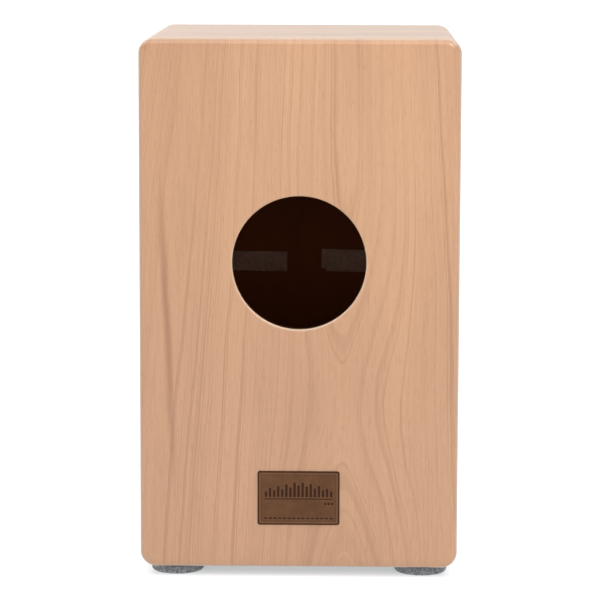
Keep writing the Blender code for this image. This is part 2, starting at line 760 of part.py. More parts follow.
def make_dampers(felt):
    """Felt strips on the tapa's inner face, below the snare carpets."""
    tilt = Matrix.Rotation(math.radians(-DAMPER_TILT), 4, "Y")
    for name, side in SIDES.items():
        mesh = slab_mesh(f"{name} damping strip", damper_outline(name), DAMPER_THICKNESS)
        ease_rim(mesh, DAMPER_THICKNESS / 2, DAMPER_EDGE_BEVEL, 2)
        y = TAPA_BACK_Y + GAP + DAMPER_THICKNESS / 2
        place = (side * DAMPER_FROM_CENTRE[name], y, BODY_BOTTOM_Z + DAMPER_MIDDLE_ON_BODY[name])
        add_part(f"{name}_damping_strip", mesh, felt, Matrix.Translation(place) @ tilt)


def make_pivot():
    """The axis that the snare frame swings on, along X."""
    pivot = bpy.data.objects.new("snare_pivot", None)
    parts.objects.link(pivot)
    pivot.location = PIVOT
    return pivot


def make_cajon():
    beech = new_material("beech ply", (0.62, 0.37, 0.23), 0.45)
    tapa_wood = new_material("tapa veneer", (0.16, 0.07, 0.03), 0.42)
    batten_wood = new_material("raw beech", (0.55, 0.36, 0.22), 0.6)
    leather = new_material("brown leather", (0.13, 0.065, 0.03), 0.6)
    felt = new_material("grey felt", (0.22, 0.22, 0.23), 0.95)
    damper_felt = new_material("damper felt", (0.30, 0.24, 0.20), 0.95)
    screw_steel = new_material("zinc screw steel", (0.55, 0.55, 0.56), 0.35, 1.0)
    snare_steel = new_material("snare steel", (0.62, 0.62, 0.64), 0.28, 1.0)
    holes = {
        "tapa": tapa_screw_holes(),
        "foot": foot_screw_holes(),
        "bracket": bracket_screw_holes(),
        "snare": snare_screw_holes(),
        "pin": pin_holes(),
    }
    make_shell(beech, holes)
    make_back_panel(beech, sound_hole())
    make_tapa(tapa_wood, holes["tapa"])
    make_tapa_screws(screw_steel)
    make_badge(leather)
    make_feet(felt, screw_steel)
    make_brackets(batten_wood, screw_steel, holes)
    pivot = make_pivot()
    make_rail(batten_wood, snare_steel, holes, pivot)
    make_carpets(snare_steel, screw_steel, holes, pivot)
    make_dampers(damper_felt)


empty_scene()
parts = new_collection("cajon")
cutters = new_collection("cutters")
make_cajon()
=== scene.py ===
import math

import bmesh
import bpy
import numpy as np
from mathutils import Matrix, Vector, noise


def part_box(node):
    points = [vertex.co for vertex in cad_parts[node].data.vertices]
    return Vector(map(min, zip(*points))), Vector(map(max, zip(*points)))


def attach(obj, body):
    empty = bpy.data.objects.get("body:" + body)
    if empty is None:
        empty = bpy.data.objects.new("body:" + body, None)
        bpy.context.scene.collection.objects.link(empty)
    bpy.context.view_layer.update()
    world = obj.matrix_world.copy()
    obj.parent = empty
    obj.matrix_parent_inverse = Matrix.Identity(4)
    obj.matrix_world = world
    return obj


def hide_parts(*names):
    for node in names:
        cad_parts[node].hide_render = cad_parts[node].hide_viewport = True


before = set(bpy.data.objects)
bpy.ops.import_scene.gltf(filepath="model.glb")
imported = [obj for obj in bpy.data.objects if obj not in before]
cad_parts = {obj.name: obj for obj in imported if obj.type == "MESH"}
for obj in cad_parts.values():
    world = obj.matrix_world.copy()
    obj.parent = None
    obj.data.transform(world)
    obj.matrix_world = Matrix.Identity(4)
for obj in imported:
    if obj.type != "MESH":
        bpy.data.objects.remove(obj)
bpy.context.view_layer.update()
print("stage: frame loaded with", len(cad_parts), "nodes")

backLow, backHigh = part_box("back_panel")
tapaLow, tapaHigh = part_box("tapa")
bodyMiddleZ = (backLow.z + backHigh.z) / 2
halfWidth = backHigh.x
halfHeight = (backHigh.z - backLow.z) / 2
bodyTop = bodyMiddleZ + halfHeight
cornerRadius = 0.015
quarter = math.pi / 2


class Value:
    # a node's output, which arithmetic turns into more nodes

    def __init__(self, wires, socket):
        self.wires = wires
        self.socket = socket

    def __add__(self, other):
        return self.wires.maths("ADD", self, other)

    def __sub__(self, other):
        return self.wires.maths("SUBTRACT", self, other)

    def __rsub__(self, other):
        return self.wires.maths("SUBTRACT", other, self)

    def __mul__(self, other):
        return self.wires.maths("MULTIPLY", self, other)

    def __truediv__(self, other):
        return self.wires.maths("DIVIDE", self, other)


class Wires:
    # adds nodes to one tree and joins them as they come

    def __init__(self, tree):
        self.tree = tree
        self.count = 0

    def feed(self, socket, value):
        if isinstance(value, Value):
            self.tree.links.new(value.socket, socket)
        elif socket.type == "RGBA":
            socket.default_value = (*value, 1.0)
        else:
            socket.default_value = value

    def fill(self, node, sockets):
        for name, value in sockets.items():
            self.feed(node.inputs[name], value)

    def add(self, kind, sockets=None, **settings):
        node = self.tree.nodes.new(kind)
        node.location = (230 * (self.count % 9), -300 * (self.count // 9))
        self.count += 1
        for name, value in settings.items():
            setattr(node, name, value)
        self.fill(node, sockets or {})
        return node

    def out(self, kind, sockets=None, which=0, **settings):
        return Value(self, self.add(kind, sockets, **settings).outputs[which])

    def group(self, tree, **values):
        # a shader group, fed with the values whose names it has as inputs
        node = self.add("ShaderNodeGroup", node_tree=tree)
        self.fill(node, {socket.name: values[socket.name] for socket in node.inputs})
        return {socket.name: Value(self, socket) for socket in node.outputs}

    def joined(self, *pieces):
        node = self.add("GeometryNodeJoinGeometry")
        for piece in pieces:
            self.feed(node.inputs[0], piece)
        return Value(self, node.outputs[0])

    def maths(self, operation, *values):
        return self.out("ShaderNodeMath", dict(enumerate(values)), operation=operation)

    def offset(self, vector, by, operation="ADD"):
        return self.out("ShaderNodeVectorMath", {0: vector, 1: by}, operation=operation)

    def parts(self, vector):
        return [Value(self, socket) for socket in self.add("ShaderNodeSeparateXYZ", {0: vector}).outputs]

    def vector(self, x=0.0, y=0.0, z=0.0):
        return self.out("ShaderNodeCombineXYZ", {0: x, 1: y, 2: z})

    def stretched(self, vector, scale, turn=(0.0, 0.0, 0.0)):
        return self.out("ShaderNodeMapping", {"Vector": vector, "Rotation": turn, "Scale": scale})

    def noise(self, vector, scale, detail=2.0, roughness=0.5, turn=(0.0, 0.0, 0.0)):
        if isinstance(scale, tuple):
            vector, scale = self.stretched(vector, scale, turn), 1.0
        sockets = {"Vector": vector, "Scale": scale, "Detail": detail, "Roughness": roughness}
        return self.out("ShaderNodeTexNoise", sockets)

    def span(self, value, low, high, toLow=0.0, toHigh=1.0):
        sockets = {"Value": value, "From Min": low, "From Max": high, "To Min": toLow, "To Max": toHigh}
        return self.out("ShaderNodeMapRange", sockets, interpolation_type="SMOOTHSTEP")

    def mix(self, share, first, second, how="MIX"):
        return self.out("ShaderNodeMix", {0: share, 6: first, 7: second}, 2, data_type="RGBA", blend_type=how)

    def bump(self, height, distance, strength=1.0):
        return self.out("ShaderNodeBump", {"Height": height, "Distance": distance, "Strength": strength})

    def attribute(self, name):
        return self.out("ShaderNodeAttribute", None, "Fac", attribute_name=name)


def openTree(tree):
    wires = Wires(tree)
    sockets = wires.add("NodeGroupInput").outputs
    return wires, {socket.name: Value(wires, socket) for socket in sockets if socket.name}


def newGroup(name, *labels):
    tree = bpy.data.node_groups.new(name, "ShaderNodeTree")
    for label in labels:
        kind = "NodeSocketVector" if label == "vector" else "NodeSocketFloat"
        tree.interface.new_socket(name=label, in_out="INPUT", socket_type=kind)
    return openTree(tree)


def closeGroup(wires, **results):
    for label in results:
        wires.tree.interface.new_socket(name=label, in_out="OUTPUT", socket_type="NodeSocketFloat")
    wires.add("NodeGroupOutput", results)
    return wires.tree


def newMaterial(name):
    material = bpy.data.materials.new(name)
    material.use_nodes = True
    material.node_tree.nodes.clear()
    wires = Wires(material.node_tree)
    shader = wires.add("ShaderNodeBsdfPrincipled")
    wires.add("ShaderNodeOutputMaterial", {"Surface": Value(wires, shader.outputs[0])})
    return material, wires, shader, wires.out("ShaderNodeTexCoord", None, "Object")


# growth rings cut through by a flat board: grain runs along Z, the board's width along X
def buildWoodFigure():
    wires, given = newGroup(
        "woodFigure", "vector", "ringWidth", "heartAcross", "heartDepth", "spread",
        "swirl", "swirlAcross", "swirlAlong", "waver", "seed",
    )
    across, _, along = wires.parts(given["vector"])
    placed = wires.offset(given["vector"], wires.vector(given["seed"], 0.0, given["seed"]))
    slow = wires.noise(placed, (7.0, 3.0, 2.2)) - 0.5
    quick = wires.noise(placed, (42.0, 12.0, 9.0)) - 0.5
    waver = (slow * 3.0 + quick * 0.5) * given["waver"]
    # distance from the heart, which the ring's width divides into years
    sideways = (across + waver - given["heartAcross"]) / (1.0 - along * given["spread"])
    radius = wires.maths("SQRT", sideways * sideways + given["heartDepth"] * given["heartDepth"])
    fromX = (across - given["swirlAcross"]) * 19.0
    fromZ = (along - given["swirlAlong"]) * 7.5
    bulge = wires.maths("EXPONENT", (fromX * fromX + fromZ * fromZ) * -1.0)
    radius = radius + bulge * given["swirl"]
    uneven = wires.out("ShaderNodeTexNoise", {"W": radius * 38.0, "Detail": 1.0}, noise_dimensions="1D")
    count = radius / given["ringWidth"] + uneven * 2.4
    masks = []
    for share in (1.0, 2.7):  # years, and fainter lines within them
        turn = count * share
        within = wires.maths("FRACT", turn)
        year = wires.maths("FLOOR", turn) + given["seed"] + share
        strength = wires.out("ShaderNodeTexWhiteNoise", {"W": year}, noise_dimensions="1D")
        strength = strength * strength * 1.1 + 0.12
        masks.append(wires.span(within, 0.45, 0.90) * wires.span(within, 1.0, 0.91) * strength)
    patch = wires.noise(placed, (24.0, 9.0, 3.5), 1.0)
    rings = (masks[0] * 0.95 + masks[1] * 0.25) * wires.span(patch, 0.25, 0.75, 0.45, 1.2)
    streaks = wires.noise(placed, (520.0, 300.0, 17.0), 3.0, 0.65)
    flecks = wires.span(wires.noise(placed, (1150.0, 900.0, 120.0), 1.0), 0.58, 0.70)
    tone = wires.noise(placed, (10.0, 5.0, 1.3), 3.0, 0.6)
    height = flecks * -0.6 + streaks * -0.5 + rings * -0.25 + 1.2
    return closeGroup(wires, rings=rings, streaks=streaks, flecks=flecks, tone=tone, height=height)


# veneers glued crosswise, counted from a panel's outer face
def buildPlyLayers():
    wires, given = newGroup("plyLayers", "depth", "thickness", "veneer")
    count = given["depth"] / given["veneer"]
    cross = wires.maths("MODULO", wires.maths("FLOOR", wires.maths("MAXIMUM", count, 0.0)), 2.0)
    within = wires.maths("ABSOLUTE", wires.maths("FRACT", count) - 0.5)
    fromInner = wires.maths("GREATER_THAN", given["thickness"] - given["depth"], given["veneer"])
    core = wires.maths("GREATER_THAN", given["depth"], given["veneer"]) * fromInner
    return closeGroup(wires, cross=cross * core, glue=wires.span(within, 0.43, 0.49) * core)


# how near a point is to the border of the upright panels, broken up like wear
def buildRubbedEdge():
    wires, given = newGroup("rubbedEdge", "vector", "reach")
    x, _, z = wires.parts(given["vector"])
    sideways = halfWidth - wires.maths("ABSOLUTE", x)
    upright = halfHeight - wires.maths("ABSOLUTE", z - bodyMiddleZ)
    away = wires.maths("MINIMUM", sideways, upright) / given["reach"]
    ragged = wires.noise(given["vector"], (90.0, 90.0, 90.0), 3.0, 0.7)
    return closeGroup(wires, wear=wires.span(away, 1.0, 0.0) * wires.span(ragged, 0.35, 0.7))


# tangled, pressed fibres
def buildFeltMottle():
    wires, given = newGroup("feltMottle", "vector", "blotch", "seed")
    placed = wires.offset(given["vector"], wires.vector(given["seed"], given["seed"]))
    blotches = wires.noise(placed, given["blotch"], 3.0, 0.6)
    fibres = []
    for turn, scale in (((0.4, 0.2, 0.3), (2600.0, 420.0, 900.0)), ((1.1, 0.9, 1.7), (500.0, 2300.0, 800.0))):
        thread = wires.noise(placed, scale, 2.0, 0.6, turn)
        fibres.append(wires.span(wires.maths("ABSOLUTE", thread - 0.5), 0.08, 0.0))
    tangle = wires.maths("MAXIMUM", *fibres)
    height = tangle * 0.6 + blotches * 0.8
    return closeGroup(wires, blotches=wires.span(blotches, 0.3, 0.7), fibres=tangle, height=height)


# pores and creases of tanned leather
def buildLeatherGrain():
    wires, given = newGroup("leatherGrain", "vector", "poreScale")
    sockets = {"Vector": given["vector"], "Scale": given["poreScale"]}
    cells = wires.out("ShaderNodeTexVoronoi", sockets, feature="DISTANCE_TO_EDGE")
    broad = wires.noise(given["vector"], (90.0, 90.0, 60.0), 4.0, 0.6)
    fine = wires.noise(given["vector"], (900.0, 900.0, 500.0), 3.0, 0.6)
    height = wires.span(cells, 0.0, 0.22) + fine * 0.5
    return closeGroup(wires, tone=broad * 0.7 + fine * 0.3, height=height)


# fine drawn lines, specks and dull patches on steel
def buildDrawnSteel():
    wires, given = newGroup("drawnSteel", "vector", "lineScale")
    lines = wires.noise(wires.stretched(given["vector"], (1.0, 1.0, 0.06)), given["lineScale"], 2.0, 0.6)
    dull = wires.noise(given["vector"], (260.0, 260.0, 260.0), 4.0, 0.65)
    specks = wires.noise(given["vector"], (1800.0, 1800.0, 1800.0), 1.0)
    dull = wires.maths("MAXIMUM", wires.span(dull, 0.4, 0.75), wires.span(specks, 0.66, 0.74))
    return closeGroup(wires, dull=dull, height=lines)


groups = {
    "wood": buildWoodFigure(),
    "ply": buildPlyLayers(),
    "rub": buildRubbedEdge(),
    "felt": buildFeltMottle(),
    "leather": buildLeatherGrain(),
    "steel": buildDrawnSteel(),
}
print("stage: shader groups built")

backVeneer = {
    "light": (0.493, 0.273, 0.149),
    "ring": (0.284, 0.125, 0.055),
    "fleck": (0.260, 0.116, 0.055),
    "ringShare": 0.44, "fleckShare": 0.18, "streakShare": 0.15, "toneShare": 0.10,
    "ringWidth": 0.0105, "heartAcross": -0.046, "heartDepth": 0.011, "spread": 0.62,
    "swirl": 0.034, "swirlAcross": -0.058, "swirlAlong": -0.10, "waver": 0.010, "seed": 3.0,
    "roughness": 0.46, "coat": 1.0, "gloss": 0.15, "coatRoughness": 0.18,
    "middle": (0.0, 0.0, bodyMiddleZ),
    "turn": (0.0, 0.0, 0.0),
}
sideVeneer = {
    **backVeneer,
    "heartAcross": 0.035, "spread": 0.3,
    "swirl": 0.022, "swirlAcross": 0.06, "swirlAlong": 0.11, "seed": 11.0,
    "turn": (0.0, 0.0, quarter),
}
seatVeneer = {
    **backVeneer,
    "light": (0.475, 0.305, 0.192),
    "heartAcross": -0.05, "spread": 0.4,
    "swirl": 0.018, "swirlAcross": 0.05, "swirlAlong": 0.05, "seed": 23.0,
    "coat": 0.6, "coatRoughness": 0.24,
    "middle": (0.0, 0.0, 0.0),
    "turn": (-quarter, -quarter, 0.0),
}
tapaVeneer = {
    **backVeneer,
    "light": (0.190, 0.062, 0.024),
    "ring": (0.034, 0.011, 0.005),
    "fleck": (0.030, 0.011, 0.006),
    "inside": (0.270, 0.072, 0.020),
    "ringShare": 0.95, "fleckShare": 0.45, "streakShare": 0.45, "toneShare": 0.30,
    "ringWidth": 0.0120, "heartAcross": 0.012, "heartDepth": 0.010, "spread": 0.35,
    "swirl": 0.03, "swirlAcross": 0.045, "swirlAlong": 0.02, "waver": 0.016, "seed": 41.0,
    "roughness": 0.42, "coat": 0.8, "coatRoughness": 0.20,
}
rawBeech = {
    **backVeneer,
    "light": (0.54, 0.34, 0.20),
    "ring": (0.38, 0.21, 0.11),
    "ringShare": 0.5, "fleckShare": 0.35,
    "ringWidth": 0.0045, "heartAcross": 0.05, "heartDepth": 0.02, "swirl": 0.0, "waver": 0.004,
    "roughness": 0.7, "coat": 0.0, "gloss": 0.3,
    "middle": (0.0, 0.0, 0.0),
}
backLayers = {
    "crossTint": (0.86, 0.83, 0.80),
    "glueTint": (0.74, 0.68, 0.62),
    # rim colours: the first is partly the ply core where the rounding cuts through the veneer, partly a painted
    # grey reflection on the side and bottom rims; the second is a painted pale highlight along the top rim and
    # its corners
    "cut": (0.390, 0.315, 0.260),
    "topCut": (0.600, 0.500, 0.400),
    "cutShare": 0.45, "veneer": 0.0015,
    "face": backHigh.y, "inward": -1.0, "thickness": backHigh.y - backLow.y,
}
tapaLayers = {
    "crossTint": (2.2, 2.9, 3.4),
    "glueTint": (0.8, 0.7, 0.6),
    "cut": (0.090, 0.036, 0.017),
    "topCut": (0.090, 0.036, 0.017),
    "cutShare": 0.3, "veneer": 0.0006,
    "face": tapaLow.y, "inward": 1.0, "thickness": tapaHigh.y - tapaLow.y,
}
# a dark mineral streak in the back veneer, plus a painted shade that darkens the back towards the left and
# towards the bottom, where less light falls
mineralStreakAndShade = {
    "across": 0.1245, "lean": 0.043, "width": 0.0052, "ripple": 0.006,
    "middle": -0.02, "reach": 0.19, "strength": 0.70,
    "darkerAcross": 0.075, "darkerDown": 0.075,
}
soundHole = {
    "radius": 0.0625, "height": 0.2997, "easing": 0.0022, "easingSteps": 6, "steps": 192,
    # the flare colour: a lighter sanded core, with a painted highlight on its lower arc
    "sanded": (0.800, 0.610, 0.460), "sandedShare": 0.6,
    "burnt": (0.060, 0.026, 0.012), "burntShare": 0.94,
}


def makeWood(name, finish, layers=None, streak=None, wear=0.0, bore=None):
    material, wires, shader, place = newMaterial(name)
    move = wires.offset(place, finish["middle"], "SUBTRACT")
    grain = wires.stretched(move, (1.0, 1.0, 1.0), finish["turn"])
    figure = wires.group(groups["wood"], vector=grain, **finish)
    paint = wires.mix(figure["rings"] * finish["ringShare"], finish["light"], finish["ring"])
    across, _, along = wires.parts(move)
    if streak:
        ripple = wires.noise(move, (30.0, 5.0, 9.0)) - 0.5
        bent = across - along * streak["lean"] + ripple * streak["ripple"] - streak["across"]
        away = wires.maths("ABSOLUTE", bent / streak["width"])
        upDown = wires.maths("ABSOLUTE", along - streak["middle"])
        mask = wires.span(away, 1.0, 0.0) * wires.span(upDown, streak["reach"], 0.02) * streak["strength"]
        paint = wires.mix(mask, paint, finish["ring"])
    streaks = wires.span(figure["streaks"], 0.30, 0.72) * finish["streakShare"]
    paint = wires.mix(streaks, paint, finish["ring"])
    paint = wires.mix(figure["flecks"] * finish["fleckShare"], paint, finish["fleck"])
    bright = wires.span(figure["tone"], 0.25, 0.75, 1.0 - finish["toneShare"], 1.0 + finish["toneShare"])
    # painted shade: the back is darker towards the left and towards the bottom, where less light falls
    if streak:
        shadeLeftward = wires.span(across, -0.02, 0.13, 0.0, streak["darkerAcross"])
        shadeDownward = wires.span(along, 0.14, -0.10, 0.0, streak["darkerDown"])
        bright = bright - (shadeLeftward + shadeDownward)
    tint = wires.out("ShaderNodeCombineColor", {0: bright * 0.85 + 0.15, 1: bright, 2: bright})
    paint = wires.mix(1.0, paint, tint, "MULTIPLY")
    rough = wires.span(figure["streaks"], 0.2, 0.8, finish["roughness"] - 0.05, finish["roughness"] + 0.07)
    height = figure["height"]
    if layers:
        sideways, deep, up = wires.parts(place)
        depth = (deep - layers["face"]) * layers["inward"]
        ply = wires.group(groups["ply"], depth=depth, **layers)
        pores = wires.noise(place, (1400.0, 500.0, 1400.0), 2.0, 0.6)
        cross = ply["cross"] * wires.span(pores, 0.3, 0.7, 0.5, 1.0)
        shade = wires.mix(cross, (1.0, 1.0, 1.0), layers["crossTint"])
        shade = wires.mix(ply["glue"] * 0.8, shade, layers["glueTint"])
        paint = wires.mix(1.0, paint, shade, "MULTIPLY")
        height = height + ply["glue"] * -0.8
        # the rounded rim: partly ply core cut through, partly a painted grey reflection at the sides and bottom
        # and a painted pale highlight along the top
        cut = wires.span(depth, 0.0012, 0.0035) * layers["cutShare"]
        high = wires.span(up, bodyTop - 0.010, bodyTop - 0.002)
        paint = wires.mix(cut, paint, wires.mix(high, layers["cut"], layers["topCut"]))
    if bore:
        upright = up - bore["height"]
        away = wires.maths("SQRT", sideways * sideways + upright * upright)
        rim = bore["radius"] + bore["easing"]
        near = wires.span(away, rim + 0.0014, rim + 0.0004)
        # the sanded flare's lighter core with a painted highlight: paler along the lower arc, where overhead
        # light falls, than along the upper arc
        sanded = near * wires.span(depth, -0.0001, 0.0006) * wires.span(upright, 0.045, -0.045, 0.25, 1.0)
        paint = wires.mix(sanded * bore["sandedShare"], paint, bore["sanded"])
        # the bore wall below the flare is darkened to a near-black brown
        burnt = near * wires.span(depth, bore["easing"] - 0.0002, bore["easing"] + 0.0008)
        paint = wires.mix(burnt * bore["burntShare"], paint, bore["burnt"])
    if wear:
        worn = wires.group(groups["rub"], vector=place, reach=0.006)["wear"]
        paint = wires.mix(worn * wear, paint, [min(1.0, part * 1.35 + 0.02) for part in finish["light"]])
        rough = rough + worn * -0.06
    coat = finish["coat"]
    if "inside" in finish:  # the inner face has no lacquer, and its colour darkens upwards as painted shade, where less light through the hole falls
        bare = wires.maths("GREATER_THAN", depth, layers["thickness"] - layers["veneer"])
        darker = [part * 0.5 for part in finish["inside"]]
        bareTintAndShade = wires.mix(figure["rings"] * 0.35, finish["inside"], darker)
        # painted shade: the bare inner face is darker towards the top
        bareTintAndShade = wires.mix(wires.span(along, -0.02, 0.13, 0.0, 0.55), bareTintAndShade, (0.0, 0.0, 0.0))
        paint = wires.mix(bare, paint, bareTintAndShade)
        rough = wires.maths("MAXIMUM", rough, bare * 0.9)
        coat = (1.0 - bare) * coat
    wires.fill(
        shader,
        {
            "Base Color": paint,
            "Roughness": rough,
            "Normal": wires.bump(height, 0.00010, 0.25),
            "Specular IOR Level": finish["gloss"],
            "Coat Weight": coat,
            "Coat Roughness": finish["coatRoughness"],
        },
    )
    return material


woods = {
    "back": makeWood("lacqueredBeechBack", backVeneer, backLayers, mineralStreakAndShade, 0.10, soundHole),
    "side": makeWood("lacqueredBeechSide", sideVeneer),
    "seat": makeWood("lacqueredBeechSeat", seatVeneer),
    "tapa": makeWood("stainedTapaVeneer", tapaVeneer, tapaLayers, None, 0.12),
    "bracket": makeWood("rawBeechBlock", rawBeech),
    "rail": makeWood("rawBeechBatten", {**rawBeech, "turn": (0.0, quarter, 0.0), "seed": 7.0}),
}


def makeFelt(name, finish):
    material, wires, shader, place = newMaterial(name)
    felt = wires.group(groups["felt"], vector=place, **finish)
    paint = wires.mix(felt["blotches"], finish["dark"], finish["light"])
    paint = wires.mix(felt["fibres"] * 0.35, paint, [min(1.0, part * 1.5) for part in finish["light"]])
    if finish["shaded"]:
        paint = wires.mix(wires.attribute("shade"), paint, [part * 0.5 for part in finish["dark"]])
    wires.fill(
        shader,
        {
            "Base Color": paint,
            "Roughness": wires.span(felt["fibres"], 0.0, 1.0, 0.98, 0.88),
            "Normal": wires.bump(felt["height"], 0.0003, 0.8),
            "Sheen Weight": 0.25,
            "Sheen Roughness": 0.5,
        },
    )
    return material


def makeSteel(name, bright, dull, roughness):
    material, wires, shader, place = newMaterial(name)
    steel = wires.group(groups["steel"], vector=place, lineScale=3000.0)
    wires.fill(
        shader,
        {
            "Base Color": wires.mix(steel["dull"] * 0.6, bright, dull),
            "Metallic": 1.0,
            "Roughness": steel["dull"] * 0.22 + roughness,
            "Normal": wires.bump(steel["height"], 0.00002, 0.4),
        },
    )
    return material


def makeLeather(name, finish):
    material, wires, shader, place = newMaterial(name)
    hide = wires.group(groups["leather"], vector=place, poreScale=1300.0)
    burn = wires.attribute("burn")
    paint = wires.mix(wires.span(hide["tone"], 0.3, 0.7), finish["dark"], finish["light"])
    paint = wires.mix(wires.attribute("crest") * finish["crestShare"], paint, finish["crest"])
    wires.fill(
        shader,
        {
            "Base Color": wires.mix(burn, paint, finish["burnt"]),
            "Roughness": wires.span(burn, 0.0, 1.0, finish["roughness"], 0.8),
            "Normal": wires.bump(hide["height"], 0.00006, 0.5),
            "Specular IOR Level": 0.18,
        },
    )
    return material


badgeFinish = {
    "light": (0.119, 0.052, 0.022),
    "dark": (0.089, 0.037, 0.015),
    "crest": (0.186, 0.093, 0.048), "crestShare": 0.6,
    "burnt": (0.030, 0.009, 0.002),
    "roughness": 0.72,
}
footFinish = {
    "dark": (0.028, 0.034, 0.039),
    "light": (0.310, 0.332, 0.350),
    "blotch": 420.0, "seed": 1.0, "shaded": True,
}
stripFinish = {
    "dark": (0.450, 0.270, 0.205),
    "light": (0.560, 0.345, 0.265),
    "blotch": 260.0, "seed": 5.0, "shaded": False,
}
leather = makeLeather("burntBrownLeather", badgeFinish)
footFelt = makeFelt("pressedGreyFelt", footFinish)
stripFelt = makeFelt("needledBrownFelt", stripFinish)
screwSteel = makeSteel("zincPlatedSteel", (0.495, 0.495, 0.495), (0.40, 0.40, 0.41), 0.26)
wireSteel = makeSteel("drawnSpringSteel", (0.465, 0.465, 0.480), (0.36, 0.35, 0.34), 0.24)
pinSteel = makeSteel("groundDowelSteel", (0.435, 0.435, 0.450), (0.34, 0.34, 0.35), 0.20)
print("stage: materials built")


def newObject(name, mesh, material):
    obj = bpy.data.objects.new(name, mesh)
    bpy.context.scene.collection.objects.link(obj)
    mesh.materials.clear()
    mesh.materials.append(material)
    return obj


def meshFrom(name, points, faces):
    mesh = bpy.data.meshes.new(name)
    mesh.from_pydata([tuple(point) for point in points], [], faces)
    mesh.validate()
    return mesh


def pointOutwards(mesh, weld=0.0):
    form = bmesh.new()
    form.from_mesh(mesh)
    if weld:
        bmesh.ops.remove_doubles(form, verts=form.verts, dist=weld)
    bmesh.ops.recalc_face_normals(form, faces=form.faces)
    form.to_mesh(mesh)
    form.free()


def plainMesh(obj):
    # the object's modifiers worked into its mesh
    graph = bpy.context.evaluated_depsgraph_get()
    mesh = bpy.data.meshes.new_from_object(obj.evaluated_get(graph))
    obj.modifiers.clear()
    old = obj.data
    obj.data = mesh
    mesh.name = old.name
    bpy.data.meshes.remove(old)
    return mesh


def settleNormals(obj, degrees=35):
    # smooth curves, with large faces kept flat
    shadeSmooth(obj.data, degrees)
    modifier = obj.modifiers.new("flat faces stay flat", "WEIGHTED_NORMAL")
    modifier.keep_sharp = True
    modifier.weight = 60
    plainMesh(obj)


def shadeSmooth(mesh, degrees):
    mesh.shade_smooth()
    mesh.set_sharp_from_angle(angle=math.radians(degrees))


def finishPiece(obj, body, slotName, *nodes):
    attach(obj, body)
    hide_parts(*nodes)


def refinedCopy(node, name, material, degrees=35):
    # the CAD node's own shape, welded and smoothly shaded
    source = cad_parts[node].data
    points = [vertex.co for vertex in source.vertices]
    mesh = meshFrom(name, points, [tuple(face.vertices) for face in source.polygons])
    pointOutwards(mesh, 0.000002)
    obj = newObject(name, mesh, material)
    settleNormals(obj, degrees)
    return obj


def roundedLoop(width, height, radius, steps):
    points = []
    for corner in range(4):
        signX = 1 if corner in (0, 3) else -1
        signZ = 1 if corner in (0, 1) else -1
        for step in range(steps + 1):
            angle = math.radians(90 * (corner + step / steps))
            x = signX * (width / 2 - radius) + radius * math.cos(angle)
            z = signZ * (height / 2 - radius) + radius * math.sin(angle)
            points.append((x, z))
    return points


def circleLoop(radius, steps):
    angles = [2 * math.pi * step / steps for step in range(steps)]
    return [(radius * math.cos(angle), radius * math.sin(angle)) for angle in angles]


def loftedPanel(name, width, height, radius, cornerSteps, rings, holes, middle):
    # an upright panel from rings of (inset, y) and holes of {"place", "rings": (radius, y), "steps"}
    form = bmesh.new()

    def addLoop(points, y, place):
        return [form.verts.new((place[0] + x, y, place[1] + z)) for x, z in points]

    walls = []
    for inset, y in rings:
        loop = roundedLoop(width - 2 * inset, height - 2 * inset, radius - inset, cornerSteps)
        walls.append(addLoop(loop, y, middle))
    stacks = [walls]
    for hole in holes:
        stacks.append([addLoop(circleLoop(size, hole["steps"]), y, hole["place"]) for size, y in hole["rings"]])
    for stack in stacks:
        for lower, upper in zip(stack, stack[1:]):
            for index in range(len(lower)):
                after = (index + 1) % len(lower)
                form.faces.new((lower[index], lower[after], upper[after], upper[index]))
    for end in (0, -1):
        edges = []
        for stack in stacks:
            loop = stack[end]
            edges += [form.edges.get((loop[index - 1], loop[index])) for index in range(len(loop))]
        bmesh.ops.triangle_fill(form, edges=edges, use_beauty=True, use_dissolve=False)
    bmesh.ops.recalc_face_normals(form, faces=form.faces)
    mesh = bpy.data.meshes.new(name)
    form.to_mesh(mesh)
    form.free()
    return mesh


def quarterRound(radius, steps):
    # (inset, depth) pairs that turn from a side wall over to a face
    angles = [math.pi / 2 * step / steps for step in range(steps + 1)]
    return [(radius * (1 - math.cos(angle)), radius * math.sin(angle)) for angle in angles]


def uprightPlate(name, rings, holes, wood):
    # a plate as wide and as tall as the box
    steps = backPanel["cornerSteps"]
    middle = (0.0, bodyMiddleZ)
    mesh = loftedPanel(name, 2 * halfWidth, 2 * halfHeight, cornerRadius, steps, rings, holes, middle)
    obj = newObject(name, mesh, woods[wood])
    settleNormals(obj)
    return obj


backPanel = {"rounding": 0.0075, "roundingSteps": 10, "arris": 0.0003, "cornerSteps": 16}


def makeBackPanel():
    faceY, innerY = backHigh.y, backLow.y
    arris, rounding = backPanel["arris"], backPanel["rounding"]
    rings = [(arris, innerY), (0.0, innerY + arris)]
    base = faceY - rounding
    rings += [(inset, base + rise) for inset, rise in quarterRound(rounding, backPanel["roundingSteps"])]
    radius, easing = soundHole["radius"], soundHole["easing"]
    holeRings = [(radius + arris, innerY), (radius, innerY + arris)]
    turns = quarterRound(easing, soundHole["easingSteps"])
    holeRings += [(radius + inset, faceY - easing + rise) for inset, rise in turns]
    hole = {"place": (0.0, soundHole["height"]), "rings": holeRings, "steps": soundHole["steps"]}
    finishPiece(uprightPlate("backPanel", rings, [hole], "back"), "body", "beech_ply", "back_panel")


tapaPlate = {
    "easing": 0.0008, "easingSteps": 4, "arris": 0.0002,
    "sinkSteps": 32, "headRadius": 0.00405, "shankRadius": 0.00205, "straight": 0.00075, "lip": 0.00015,
}


def nodesEnding(ending):
    return sorted(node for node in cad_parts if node.endswith(ending))


def screwPlaces(nodes):
    return [(low + high) / 2 for low, high in map(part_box, nodes)]


screwNodes = sorted(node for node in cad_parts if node.startswith("tapa_screw_"))


